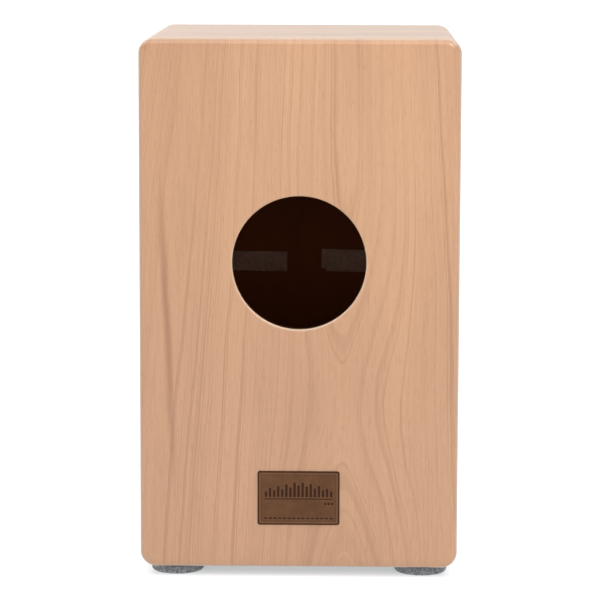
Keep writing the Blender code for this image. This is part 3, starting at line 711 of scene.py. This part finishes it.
def makeTapa():
    faceY, innerY = tapaLow.y, tapaHigh.y
    easing, lip, arris = tapaPlate["easing"], tapaPlate["lip"], tapaPlate["arris"]
    rings = [(arris, innerY), (0.0, innerY - arris)]
    rings += [(inset, faceY + easing - rise) for inset, rise in quarterRound(easing, tapaPlate["easingSteps"])]
    head, shank = tapaPlate["headRadius"], tapaPlate["shankRadius"]
    coneStart = faceY + tapaPlate["straight"]
    coneEnd = coneStart + head - shank
    sink = [(shank, innerY), (shank, coneEnd), (head, coneStart), (head, faceY + lip), (head + lip, faceY)]
    steps = tapaPlate["sinkSteps"]
    holes = [{"place": (place.x, place.z), "rings": sink, "steps": steps} for place in screwPlaces(screwNodes)]
    finishPiece(uprightPlate("tapaPlate", rings, holes, "tapa"), "body", "tapa_veneer", "tapa")


makeBackPanel()
makeTapa()
shellPanels = {
    "seat_panel": ("seatPanel", "seat"),
    "base_panel": ("basePanel", "seat"),
    "left_side_panel": ("leftSidePanel", "side"),
    "right_side_panel": ("rightSidePanel", "side"),
}
for node, (name, wood) in shellPanels.items():
    finishPiece(refinedCopy(node, name, woods[wood]), "body", "beech_ply", node)
print("stage: box built")


def turnedMesh(name, rings):
    # rings of points, each as long as the last, closed at both ends by a centre point
    steps = len(rings[0])
    points = [point for ring in rings for point in ring]
    first = len(points)
    points += [tuple(np.mean(rings[0], axis=0)), tuple(np.mean(rings[-1], axis=0))]
    faces = []
    for level in range(len(rings) - 1):
        for index in range(steps):
            after = (index + 1) % steps
            low, high = level * steps, (level + 1) * steps
            faces.append((low + index, low + after, high + after, high + index))
    top = (len(rings) - 1) * steps
    for index in range(steps):
        after = (index + 1) % steps
        faces.append((first, after, index))
        faces.append((first + 1, top + index, top + after))
    mesh = meshFrom(name, points, faces)
    pointOutwards(mesh)
    return mesh


def ringOf(radii, height, steps):
    angles = np.arange(steps) * 2 * math.pi / steps
    radii = np.broadcast_to(radii, steps)
    return [(float(r * math.cos(a)), float(r * math.sin(a)), float(height)) for r, a in zip(radii, angles)]


def crossRadii(wing, arm, steps):
    # outline of a cross recess, as a radius at each angle
    angles = np.arange(steps) * 2 * math.pi / steps + 0.0001
    return np.minimum(wing, np.maximum(arm / np.abs(np.cos(angles)), arm / np.abs(np.sin(angles))))


threadForm = {"pitch": 0.0016, "depth": 0.00045, "steps": 40, "perTurn": 4, "share": 0.82, "tip": 0.0003}


def screwRings(screw, headProfile):
    # tip first, head last, then down into the recess; the screw points down -Z
    steps, pitch, depth = threadForm["steps"], threadForm["pitch"], threadForm["depth"]
    shank, length = screw["shank"] / 2, screw["length"]
    rings = [ringOf(threadForm["tip"], -length, steps)]
    phase = np.arange(steps) / steps
    bottom, top = -length + 0.001, -length + (length - screw["under"]) * threadForm["share"]
    count = int((top - bottom) / pitch * threadForm["perTurn"])
    for level in range(count + 1):
        height = bottom + (top - bottom) * level / count
        saw = np.abs(((height / pitch - phase) % 1.0) - 0.5) * 2
        taper = min(1.0, 0.35 + (height - bottom) / (shank * 4))
        rings.append(ringOf((shank - depth * saw) * taper, height, steps))
    rings.append(ringOf(shank - depth * 0.6, top + 0.0004, steps))
    rings += [ringOf(radius, height, steps) for radius, height in headProfile]
    topHeight = headProfile[-1][1]
    for share, drop in ((1.0, 0.0), (0.94, 0.12), (0.62, 0.85), (0.30, 1.0)):
        wing, arm = screw["wing"] * share, screw["arm"] * (0.55 + 0.45 * share)
        rings.append(ringOf(crossRadii(wing, arm, steps), topHeight - screw["recess"] * drop, steps))
    return rings


def sunkHead(screw):
    head, shank = screw["head"] / 2, screw["shank"] / 2
    top, rim = -screw["sunk"], screw["rim"]
    return [
        (shank * 0.92, top - rim - (head - shank) - 0.0003),
        (shank, top - rim - (head - shank)),
        (head - 0.00005, top - rim - 0.00005),
        (head, top - rim),
        (head, top - 0.00012),
        (head - 0.00012, top),
    ]


def domedHead(screw):
    head, shank, rise = screw["head"] / 2, screw["shank"] / 2, screw["rise"]
    profile = [(shank * 0.92, -0.0004), (shank, 0.0), (head - 0.0001, 0.0), (head, 0.0001)]
    for step in range(1, 7):
        angle = math.pi / 2 * step / 7
        profile.append((head * (0.52 + 0.48 * math.cos(angle)), rise * (0.15 + 0.85 * math.sin(angle))))
    return profile


screwKinds = {
    "tapa": {
        "head": 0.0075, "shank": 0.0035, "length": 0.025, "rim": 0.0004, "sunk": 0.0002,
        "wing": 0.0021, "arm": 0.00062, "recess": 0.0015, "under": 0.0045,
    },
    "bracket": {
        "head": 0.007, "shank": 0.0035, "length": 0.020, "rim": 0.0004, "sunk": 0.0002,
        "wing": 0.0020, "arm": 0.00060, "recess": 0.0014, "under": 0.0045,
    },
    "snare": {
        "head": 0.0055, "shank": 0.0026, "length": 0.0095, "rise": 0.0009,
        "wing": 0.0014, "arm": 0.00042, "recess": 0.00055, "under": 0.0012,
    },
    "foot": {
        "head": 0.009, "shank": 0.004, "length": 0.01496, "rise": 0.0024,
        "wing": 0.0024, "arm": 0.0007, "recess": 0.0016, "under": 0.0012,
    },
}


def geometryTree(name, **kinds):
    # a modifier tree with named inputs, and its inputs' identifiers
    tree = bpy.data.node_groups.new(name, "GeometryNodeTree")
    keys = {}
    for label, kind in {"geometry": "Geometry", **kinds}.items():
        socket = tree.interface.new_socket(name=label, in_out="INPUT", socket_type=f"NodeSocket{kind}")
        keys[label] = socket.identifier
    tree.interface.new_socket(name="geometry", in_out="OUTPUT", socket_type="NodeSocketGeometry")
    return (keys, *openTree(tree))


def closeTree(wires, keys, geometry, material):
    whole = wires.out("GeometryNodeRealizeInstances", {"Geometry": geometry})
    dressed = wires.out("GeometryNodeSetMaterial", {"Geometry": whole, "Material": material})
    wires.add("NodeGroupOutput", {0: dressed})
    return wires.tree, keys


def randomFloat(wires, low, high, seed):
    node = wires.add("FunctionNodeRandomValue", data_type="FLOAT")
    for socket in node.inputs:
        if socket.enabled and socket.name in ("Min", "Max"):
            wires.feed(socket, low if socket.name == "Min" else high)
    wires.feed(node.inputs["Seed"], seed)
    return Value(wires, next(socket for socket in node.outputs if socket.enabled))


def randomTurn(wires, seed):
    return wires.vector(0.0, 0.0, randomFloat(wires, 0.0, 2 * math.pi, seed))


def turnedBy(wires, base, turn):
    return wires.out("FunctionNodeRotateRotation", {0: base, 1: turn}, rotation_space="LOCAL")


def onPoints(wires, points, instance, **sockets):
    sockets = {"Points": points, "Instance": instance, **sockets}
    return wires.out("GeometryNodeInstanceOnPoints", sockets)


def runTree(obj, tree, keys, values):
    modifier = obj.modifiers.new(tree.name, "NODES")
    modifier.node_group = tree
    for label, key in keys.items():
        if label in values:
            modifier[key] = values[label]
    return plainMesh(obj)


def buildScrewRow():
    kinds = {"screw": "Object", "headTurn": "Vector", "seed": "Int", "finish": "Material"}
    keys, wires, given = geometryTree("screwRow", **kinds)
    screw = wires.out("GeometryNodeObjectInfo", {"Object": given["screw"], "As Instance": True}, "Geometry")
    turn = turnedBy(wires, given["headTurn"], randomTurn(wires, given["seed"]))
    row = onPoints(wires, given["geometry"], screw, Rotation=turn)
    return closeTree(wires, keys, row, given["finish"])


screwRow = buildScrewRow()


def placeScrews(name, kind, nodes, axis, seat, turn, seed, body="body"):
    # one screw at each node, its head seated at one height along an axis
    screw = screwKinds[kind]
    profile = domedHead(screw) if "rise" in screw else sunkHead(screw)
    single = newObject(name + "Single", turnedMesh(name + "Single", screwRings(screw, profile)), screwSteel)
    shadeSmooth(single.data, 32)
    places = screwPlaces(nodes)
    for place in places:
        place[axis] = seat
    row = newObject(name, meshFrom(name, places, []), screwSteel)
    runTree(row, *screwRow, {"screw": single, "headTurn": turn, "seed": seed, "finish": screwSteel})
    bpy.data.objects.remove(single, do_unlink=True)
    finishPiece(row, body, "screw_steel", *nodes)


placeScrews("tapaScrews", "tapa", screwNodes, 1, tapaLow.y, (quarter, 0.0, 0.0), 4)
for side, sign in (("left", 1), ("right", -1)):
    blockLow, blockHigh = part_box(f"{side}_rail_bracket")
    headX = blockLow.x if sign > 0 else blockHigh.x
    nodes = [f"{side}_bracket_upper_screw", f"{side}_bracket_lower_screw"]
    placeScrews(f"{side}BracketScrews", "bracket", nodes, 0, headX, (0.0, -sign * quarter, 0.0), 9 + sign)
nodes = nodesEnding("_foot_screw")
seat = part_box(nodes[0])[0].z + screwKinds["foot"]["rise"]
placeScrews("footScrews", "foot", nodes, 2, seat, (math.pi, 0.0, 0.0), 6)
nodes = [node for node in nodesEnding("_screw") if "_snare_" in node]
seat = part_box(nodes[0])[0].y + screwKinds["snare"]["rise"]
placeScrews("snareScrews", "snare", nodes, 1, seat, (quarter, 0.0, 0.0), 2, "snare_frame")
print("stage: screws placed")

feltFoot = {
    "steps": 112, "rounding": 0.003, "roundingSteps": 8,
    "boreRadius": 0.0023, "recessRadius": 0.006, "recessDepth": 0.0034, "dent": 0.00045,
    "density": 1500000.0, "fibreLength": 0.0010, "fibreRadius": 0.000028, "lowest": 0.0019,
    "shadeDepth": 0.0028, "shadeShare": 0.55,
}


def buildFeltFuzz():
    kinds = dict.fromkeys(("density", "fibreLength", "fibreRadius", "lowest"), "Float")
    keys, wires, given = geometryTree("feltFuzz", **kinds, seed="Int", finish="Material")
    length, seed = given["fibreLength"], given["seed"]
    height = wires.parts(wires.out("GeometryNodeInputPosition"))[2]
    above = wires.maths("GREATER_THAN", height, given["lowest"])
    scatter = wires.add(
        "GeometryNodeDistributePointsOnFaces",
        {"Mesh": given["geometry"], "Selection": above, "Density": given["density"], "Seed": seed},
    )
    bow = wires.out(
        "GeometryNodeCurveQuadraticBezier",
        {
            "Resolution": 3,
            "Start": wires.vector(0.0, 0.0, length * -0.08),
            "Middle": wires.vector(length * 0.30, 0.0, length * 0.42),
            "End": wires.vector(length * 0.85, 0.0, length * 0.28),
        },
    )
    fibre = tube(wires, bow, 3, given["fibreRadius"])
    turn = turnedBy(wires, Value(wires, scatter.outputs["Rotation"]), randomTurn(wires, seed))
    size = randomFloat(wires, 0.5, 1.15, seed + 17)
    fuzz = onPoints(wires, Value(wires, scatter.outputs["Points"]), fibre, Rotation=turn, Scale=size)
    return closeTree(wires, keys, wires.joined(given["geometry"], fuzz), given["finish"])


def tube(wires, curve, sides, radius):
    ring = wires.out("GeometryNodeCurvePrimitiveCircle", {"Resolution": sides, "Radius": radius})
    return wires.out("GeometryNodeCurveToMesh", {"Curve": curve, "Profile Curve": ring, "Fill Caps": True})


feltFuzz = buildFeltFuzz()


def keepValues(mesh, name, values):
    mesh.attributes.new(name, "FLOAT", "POINT").data.foreach_set("value", values.astype(np.float32))


def makeFoot(node, seed):
    low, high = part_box(node)
    centre = (low + high) / 2
    outer, top = (high.x - low.x) / 2, high.z
    rounding, bore = feltFoot["rounding"], feltFoot["boreRadius"]
    recess, recessTop = feltFoot["recessRadius"], feltFoot["recessDepth"]
    profile = [(bore, top - 0.0001)]
    profile += [(outer * share, top) for share in (0.3, 0.6, 0.85, 0.97)]
    profile += [(outer, top - 0.0005)]
    profile += [(outer, rounding + (top - rounding) * share) for share in (0.8, 0.65, 0.5, 0.35, 0.2, 0.08)]
    for step in range(feltFoot["roundingSteps"] + 1):
        angle = quarter * step / feltFoot["roundingSteps"]
        profile.append((outer - rounding + rounding * math.cos(angle), rounding - rounding * math.sin(angle)))
    profile += [(outer * share, 0.0) for share in (0.8, 0.6, 0.4)]
    profile += [(recess, 0.0), (recess, recessTop), (bore, recessTop)]
    steps = feltFoot["steps"]
    points, faces = [], []
    for radius, height in profile:
        for step in range(steps):
            angle = 2 * math.pi * step / steps
            spot = Vector((math.cos(angle) * radius, math.sin(angle) * radius, height))
            dent = 0.0
            if radius > outer * 0.7 and 0.0 < height < top:
                rough = noise.fractal(spot * 420 + Vector((seed * 7.1, 0, 0)), 0.8, 2.0, 3)
                dent = feltFoot["dent"] * max(0.0, min(1.0, 0.45 + rough * 0.7))
            shrink = 1 - dent / radius
            points.append((centre.x + spot.x * shrink, centre.y + spot.y * shrink, height))
    for level in range(len(profile)):
        here, below = level * steps, (level + 1) % len(profile) * steps
        for step in range(steps):
            after = (step + 1) % steps
            faces.append((here + step, here + after, below + after, below + step))
    first, *rest = node.split("_")
    name = first + "".join(word.title() for word in rest)
    mesh = meshFrom(name, points, faces)
    pointOutwards(mesh)
    shadeSmooth(mesh, 50)
    obj = newObject(name, mesh, footFelt)
    mesh = runTree(obj, *feltFuzz, {**feltFoot, "seed": seed, "finish": footFelt})
    spots = np.zeros(len(mesh.vertices) * 3)
    mesh.vertices.foreach_get("co", spots)
    heights = spots.reshape(-1, 3)[:, 2]
    np.maximum(heights, 0.0, out=heights)  # no fibre goes below the foot's underside
    mesh.vertices.foreach_set("co", spots)
    depth = feltFoot["shadeDepth"]
    keepValues(mesh, "shade", np.clip((heights - (top - depth)) / depth, 0, 1) * feltFoot["shadeShare"])
    finishPiece(obj, "body", "foot_felt", node)


for seed, node in enumerate(nodesEnding("_foot"), start=1):
    makeFoot(node, seed)
print("stage: feet built")

badgePlate = {
    "cell": 0.00036, "depth": 0.00028, "cornerRadius": 0.0022, "rimWidth": 0.0014, "innerLine": 0.0036,
    "ruleHeight": -0.0008, "ruleHalf": 0.0325,
    "barWidth": 0.0024, "barStep": 0.00384, "barTall": 0.0142, "barFoot": 0.0016,
    "bars": (
        0.42, 0.60, 0.50, 0.78, 0.62, 0.92, 0.74, 1.0, 0.82,
        1.0, 0.68, 0.88, 0.56, 0.74, 0.48, 0.64, 0.40,
    ),
    "dots": 3, "dotStart": 0.0070, "dotStep": 0.0032, "dotDrop": 0.0046, "dotRadius": 0.0013,
    "dashes": 15, "dashStart": -0.0308, "dashStep": 0.0044, "dashLift": 0.0064, "dashSize": (0.00172, 0.00078),
}


def softStep(values, low, high):
    share = np.clip((values - low) / (high - low), 0, 1)
    return share * share * (3 - 2 * share)


def boxDistance(x, z, centreX, centreZ, halfX, halfZ, radius=0.0):
    # below zero inside a rounded box, in metres
    outX = np.abs(x - centreX) - halfX + radius
    outZ = np.abs(z - centreZ) - halfZ + radius
    outside = np.hypot(np.maximum(outX, 0), np.maximum(outZ, 0))
    return outside + np.minimum(np.maximum(outX, outZ), 0) - radius


def makeBadge():
    low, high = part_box("badge")
    halfX, halfZ = (high.x - low.x) / 2, (high.z - low.z) / 2
    middleZ = (low.z + high.z) / 2
    cell = badgePlate["cell"]
    columns, rows = int(2 * halfX / cell) + 1, int(2 * halfZ / cell) + 1
    x, z = np.meshgrid(np.linspace(-halfX, halfX, columns), np.linspace(-halfZ, halfZ, rows))
    edge = -boxDistance(x, z, 0, 0, halfX, halfZ, badgePlate["cornerRadius"])
    marks = []
    rule = badgePlate["ruleHeight"]
    first = -badgePlate["barStep"] * (len(badgePlate["bars"]) - 1) / 2
    for number, share in enumerate(badgePlate["bars"]):
        tall = badgePlate["barTall"] * share
        barX = first + number * badgePlate["barStep"]
        barZ = rule + badgePlate["barFoot"] + tall / 2
        marks.append(boxDistance(x, z, barX, barZ, badgePlate["barWidth"] / 2, tall / 2, 0.0009))
    marks.append(boxDistance(x, z, 0, rule, badgePlate["ruleHalf"], 0.00055, 0.0004))
    for number in range(badgePlate["dots"]):
        dotX = -halfX + badgePlate["dotStart"] + number * badgePlate["dotStep"]
        marks.append(np.hypot(x - dotX, z - (rule - badgePlate["dotDrop"])) - badgePlate["dotRadius"])
    for number in range(badgePlate["dashes"]):
        dashX = badgePlate["dashStart"] + number * badgePlate["dashStep"]
        dashZ = badgePlate["dashLift"] - halfZ
        marks.append(boxDistance(x, z, dashX, dashZ, *badgePlate["dashSize"], 0.0006))
    mark = np.min(marks, axis=0)
    cut = softStep(-mark, -0.00022, 0.00030)
    inner = softStep(np.abs(edge - badgePlate["innerLine"]), 0.00050, 0.00010) * 0.6
    rim = softStep(edge, badgePlate["rimWidth"] + 0.0004, badgePlate["rimWidth"] - 0.0004)
    rounding = np.clip(1 - edge / 0.0005, 0, 1) ** 2
    wave = [[noise.noise(Vector((float(a) * 260, 0.0, float(b) * 260))) for a in x[0, ::4]] for b in z[::4, 0]]
    wave = np.repeat(np.repeat(wave, 4, axis=0), 4, axis=1)[:rows, :columns]
    for _ in range(3):
        around = np.roll(wave, 1, 0) + np.roll(wave, 1, 1) + np.roll(wave, -1, 0) + np.roll(wave, -1, 1)
        wave = (wave + around) / 5
    sink = badgePlate["depth"] * (cut + 0.4 * inner + 0.55 * rim) + 0.0003 * rounding + 0.00003 * (1 + wave)
    faceY = high.y - sink
    halfShape = badgePlate["cornerRadius"]
    # squeeze the grid's corners onto the rounded outline
    overX = np.maximum(np.abs(x) - (halfX - halfShape), 0) / halfShape
    overZ = np.maximum(np.abs(z) - (halfZ - halfShape), 0) / halfShape
    both = np.hypot(overX, overZ)
    square = np.maximum(overX, overZ)
    factor = np.where((overX > 0) & (overZ > 0), square / np.maximum(both, 1e-9), 1.0)
    roundX = np.where(overX > 0, np.sign(x) * (halfX - halfShape + overX * factor * halfShape), x)
    roundZ = np.where(overZ > 0, np.sign(z) * (halfZ - halfShape + overZ * factor * halfShape), z)
    front = np.stack([roundX, faceY, roundZ + middleZ], axis=-1).reshape(-1, 3)
    backSide = np.stack([roundX, np.full_like(roundX, low.y), roundZ + middleZ], axis=-1).reshape(-1, 3)
    total = rows * columns
    index = np.arange(total).reshape(rows, columns)
    quads = np.stack([index[:-1, :-1], index[:-1, 1:], index[1:, 1:], index[1:, :-1]], axis=-1).reshape(-1, 4)
    border = np.concatenate([index[0, :-1], index[:-1, -1], index[-1, :0:-1], index[:0:-1, 0]])
    loop = [int(value) for value in border]
    faces = [tuple(int(value) for value in quad[::-1]) for quad in quads]
    outline = {old: total + place for place, old in enumerate(loop)}
    points = np.concatenate([front, backSide[loop]])
    for place, old in enumerate(loop):
        following = loop[(place + 1) % len(loop)]
        faces.append((old, following, outline[following], outline[old]))
    faces.append(tuple(outline[old] for old in loop[::-1]))
    mesh = meshFrom("badge", points, faces)
    pointOutwards(mesh)
    shadeSmooth(mesh, 60)
    burn = np.clip(cut * 0.95 + inner * 0.6 + rim * 0.85, 0, 1).reshape(-1)
    crest = softStep(np.abs(edge - badgePlate["rimWidth"] - 0.0010), 0.0006, 0.0001)
    crest = np.clip(crest + 0.5 * softStep(np.abs(mark - 0.0004), 0.0003, 0.0), 0, 1).reshape(-1)
    rest = len(points) - total
    for label, values, tail in (("burn", burn, 0.85), ("crest", crest, 0.0)):
        keepValues(mesh, label, np.concatenate([values, np.full(rest, tail)]))
    finishPiece(newObject("badgePlate", mesh, leather), "body", "badge_leather", "badge")


makeBadge()
print("stage: badge built")

dampingStrip = {
    "cell": 0.0012, "splits": 5, "skin": 0.0007, "dent": 0.00022,
    "density": 1100000.0, "fibreLength": 0.0012, "fibreRadius": 0.000030, "lowest": 0.1,
}


def makeStrip(node, name, seed):
    # the CAD outline kept, the broad face made finer and pressed unevenly
    obj = refinedCopy(node, name, stripFelt, 50)
    form = bmesh.new()
    form.from_mesh(obj.data)
    for _ in range(dampingStrip["splits"]):
        long = [edge for edge in form.edges if edge.calc_length() > 2 * dampingStrip["cell"]]
        if long:
            bmesh.ops.subdivide_edges(form, edges=long, cuts=1, use_grid_fill=True)
            bmesh.ops.triangulate(form, faces=[face for face in form.faces if len(face.verts) > 4])
    highY = max(vertex.co.y for vertex in form.verts)
    for vertex in form.verts:
        if vertex.co.y > highY - dampingStrip["skin"]:
            rough = noise.fractal(vertex.co * 500 + Vector((seed, 0, 0)), 0.9, 2.0, 3)
            vertex.co.y -= dampingStrip["dent"] * max(0.0, min(1.0, 0.5 + rough))
    form.to_mesh(obj.data)
    form.free()
    runTree(obj, *feltFuzz, {**dampingStrip, "seed": seed, "finish": stripFelt})
    finishPiece(obj, "body", "damper_felt", node)


makeStrip("left_damping_strip", "leftDampingStrip", 31)
makeStrip("right_damping_strip", "rightDampingStrip", 37)
print("stage: damping strips built")

snareCarpet = {
    "strands": 20, "spacing": 0.0034, "strandDepth": 0.0007,
    "coilRadius": 0.00058, "wireRadius": 0.00012, "pitch": 0.00115, "stepsPerTurn": 8,
    "overlap": 0.005, "solderRadius": 0.0011,
    "plateHeight": 0.012, "plateThickness": 0.0008, "plateCorner": 0.0015, "arris": 0.00012,
    "screwHole": 0.0016, "holeSteps": 24,
}


def buildCoiledStrands():
    kinds = dict.fromkeys(("turns", "coilRadius", "wireRadius", "length", "spacing", "solderRadius"), "Float")
    kinds.update(stepsPerTurn="Int", strands="Int", start="Vector", seed="Int", finish="Material")
    keys, wires, given = geometryTree("coiledStrands", **kinds)
    spiral = wires.out(
        "GeometryNodeCurveSpiral",
        {
            "Resolution": given["stepsPerTurn"],
            "Rotations": given["turns"],
            "Start Radius": given["coilRadius"],
            "End Radius": given["coilRadius"],
            "Height": given["length"],
        },
    )
    coil = tube(wires, spiral, 4, given["wireRadius"])
    step = wires.vector(given["spacing"])
    sockets = {"Count": given["strands"], "Start Location": given["start"], "Offset": step}
    line = wires.out("GeometryNodeMeshLine", sockets)
    pieces = [onPoints(wires, line, coil, Rotation=randomTurn(wires, given["seed"]))]
    drop = wires.out("GeometryNodeMeshIcoSphere", {"Radius": given["solderRadius"], "Subdivisions": 2})
    for share in (0.02, 0.98):  # a drop of solder near each end of a strand
        lift = wires.vector(0.0, 0.0, given["length"] * share)
        ends = wires.out("GeometryNodeSetPosition", {"Geometry": line, "Offset": lift})
        size = randomFloat(wires, 0.75, 1.0, given["seed"] + share * 50)
        pieces.append(onPoints(wires, ends, drop, Scale=wires.vector(size, size * 0.55, size)))
    whole = wires.out("GeometryNodeRealizeInstances", {"Geometry": wires.joined(*pieces)})
    smooth = wires.out("GeometryNodeSetShadeSmooth", {"Geometry": whole})
    return closeTree(wires, keys, smooth, given["finish"])


coiledStrands = buildCoiledStrands()


def makeCarpet(side, seed):
    node = f"{side}_snare_carpet"
    low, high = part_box(node)
    middleX = (low.x + high.x) / 2
    plateTall, overlap, arris = snareCarpet["plateHeight"], snareCarpet["overlap"], snareCarpet["arris"]
    bottom, top = low.z + plateTall - overlap, high.z - plateTall + overlap
    firstX = middleX - snareCarpet["spacing"] * (snareCarpet["strands"] - 1) / 2
    coils = newObject(f"{side}SnareCoils", meshFrom(f"{side}SnareCoils", [(0, 0, 0)], []), wireSteel)
    values = {
        **snareCarpet,
        "turns": (top - bottom) / snareCarpet["pitch"],
        "length": top - bottom,
        "start": (firstX, low.y + snareCarpet["strandDepth"], bottom),
        "seed": seed,
        "finish": wireSteel,
    }
    runTree(coils, *coiledStrands, values)
    finishPiece(coils, "snare_frame", "snare_steel", node)
    frontY, backY = high.y - snareCarpet["plateThickness"], high.y
    rings = [(arris, backY), (0.0, backY - arris), (0.0, frontY + arris), (arris, frontY)]
    sizes = [(snareCarpet["screwHole"], backY), (snareCarpet["screwHole"], frontY)]
    screws = screwPlaces([f"{side}_snare_inner_screw", f"{side}_snare_outer_screw"])
    holes = [{"place": (spot.x, spot.z), "rings": sizes, "steps": snareCarpet["holeSteps"]} for spot in screws]
    for end, middleZ, bored in (("Upper", high.z - plateTall / 2, holes), ("Lower", low.z + plateTall / 2, [])):
        name = f"{side}{end}SnarePlate"
        corner, middle = snareCarpet["plateCorner"], (middleX, middleZ)
        mesh = loftedPanel(name, high.x - low.x, plateTall, corner, 5, rings, bored, middle)
        plate = newObject(name, mesh, wireSteel)
        settleNormals(plate, 30)
        finishPiece(plate, "snare_frame", "snare_steel", node)


pivotPin = {"chamfer": 0.0005, "steps": 36}


def makePin(side):
    node, name = f"{side}_pivot_pin", f"{side}PivotPin"
    low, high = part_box(node)
    middle = (low + high) / 2
    radius, chamfer = (high.z - low.z) / 2, pivotPin["chamfer"]
    ends = [(low.x, radius - chamfer), (low.x + chamfer, radius)]
    ends += [(high.x - chamfer, radius), (high.x, radius - chamfer)]
    steps = pivotPin["steps"]
    rings = [[(x, middle.y + b, middle.z + a) for a, b, _ in ringOf(size, 0.0, steps)] for x, size in ends]
    pin = newObject(name, turnedMesh(name, rings), pinSteel)
    settleNormals(pin)
    finishPiece(pin, "snare_frame", "pin_steel", node)


makeCarpet("left", 12)
makeCarpet("right", 15)
finishPiece(refinedCopy("snare_rail", "snareRail", woods["rail"]), "snare_frame", "raw_beech", "snare_rail")
for side in ("left", "right"):
    node = f"{side}_rail_bracket"
    finishPiece(refinedCopy(node, f"{side}RailBracket", woods["bracket"]), "body", "raw_beech", node)
    makePin(side)
print("stage: snare frame built")

studio = {
    "skyBehind": 1.0, "skyCameraSide": 0.30,
    # painted shadow: the floor glows dimmer and bluish near the box
    "nearGlow": (0.425, 0.462, 0.480), "openGlow": (1.0, 1.0, 1.0), "glowEdge": (0.112, 0.176),
    "floorColour": (0.32, 0.32, 0.33), "floorHalf": 60,
    "cameraPlace": (-0.0530, 2.7732, 0.6283),
    "cameraYaw": 1.139, "cameraPitch": 7.879, "cameraRoll": 0.165,
    "lens": 170.24,
}
lamps = {
    "rearKey": {"place": (-0.90, 1.50, 1.50), "aim": (-0.08, 0.15, 0.5), "size": 0.8, "power": 9.0},
    "overhead": {"place": (0.0, 1.10, 2.00), "aim": (0.0, 0.1, 0.4), "size": 2.2, "power": 23.0},
    "leftTop": {"place": (1.30, 0.30, 1.80), "aim": (0.1, 0.0, 0.4), "size": 0.9, "power": 8.0},
    "rightTop": {"place": (-1.30, 0.30, 1.80), "aim": (-0.1, 0.0, 0.4), "size": 0.9, "power": 8.0},
    "frontFill": {"place": (1.2, -2.4, 1.7), "aim": (0.0, 0.0, 0.25), "size": 1.8, "power": 8.0},
}


def makeSky():
    world = bpy.data.worlds.new("softBox")
    world.use_nodes = True
    world.node_tree.nodes.clear()
    wires = Wires(world.node_tree)
    _, deep, up = wires.parts(wires.out("ShaderNodeTexCoord", None, "Generated"))
    overhead = wires.span(deep, -0.5, 0.3, studio["skyBehind"], studio["skyCameraSide"])
    strength = wires.maths("MAXIMUM", overhead, wires.span(up, 0.19, 0.32, 1.0, 0.0))
    sky = wires.out("ShaderNodeBackground", {"Color": (1.0, 1.0, 1.0), "Strength": strength})
    wires.add("ShaderNodeOutputWorld", {"Surface": sky})
    bpy.context.scene.world = world


def makeFloor():
    half = studio["floorHalf"]
    corners = [(-half, -half, 0), (half, -half, 0), (half, half, 0), (-half, half, 0)]
    mesh = meshFrom("floor", corners, [(0, 1, 2, 3)])
    material, wires, shader, place = newMaterial("paleFloor")
    x, y, _ = wires.parts(place)
    away = wires.maths("MAXIMUM", wires.maths("ABSOLUTE", x), wires.maths("ABSOLUTE", y))
    # the floor glows like a lamp; near the box its glow is dimmer and bluish, a painted contact shadow under
    # and around the box
    glowAndPaintedShadow = wires.mix(wires.span(away, *studio["glowEdge"]), studio["nearGlow"], studio["openGlow"])
    sockets = {"Base Color": studio["floorColour"], "Roughness": 0.85, "Emission Strength": 1.0}
    wires.fill(shader, {**sockets, "Emission Color": glowAndPaintedShadow})
    newObject("floor", mesh, material)


def placeObject(name, data):
    obj = bpy.data.objects.new(name, data)
    bpy.context.scene.collection.objects.link(obj)
    return obj


def makeLamps():
    for name, lamp in lamps.items():
        light = bpy.data.lights.new(name, "AREA")
        light.shape = "DISK"
        light.size = lamp["size"]
        light.energy = lamp["power"]
        obj = placeObject(name, light)
        obj.location = lamp["place"]
        aim = Vector(lamp["aim"]) - Vector(lamp["place"])
        obj.rotation_euler = aim.to_track_quat("-Z", "Y").to_euler()


def makeCamera():
    yaw, pitch, roll = (math.radians(studio[key]) for key in ("cameraYaw", "cameraPitch", "cameraRoll"))
    forward = Vector((math.sin(yaw) * math.cos(pitch), -math.cos(yaw) * math.cos(pitch), -math.sin(pitch)))
    right = Vector((-math.cos(yaw), -math.sin(yaw), 0.0))
    up = right.cross(forward)
    sideways = right * math.cos(roll) + up * math.sin(roll)
    upright = up * math.cos(roll) - right * math.sin(roll)
    camera = bpy.data.cameras.new("camera")
    camera.lens = studio["lens"]
    camera.sensor_width = 36.0
    camera.clip_start, camera.clip_end = 0.05, 100.0
    obj = placeObject("camera", camera)
    turn = Matrix((sideways, upright, -forward)).transposed()
    obj.matrix_world = Matrix.Translation(studio["cameraPlace"]) @ turn.to_4x4()
    bpy.context.scene.camera = obj


makeSky()
makeFloor()
makeLamps()
makeCamera()
scene = bpy.context.scene
scene.view_settings.view_transform = "Standard"
scene.view_settings.look = "None"
print("stage: studio and camera set")
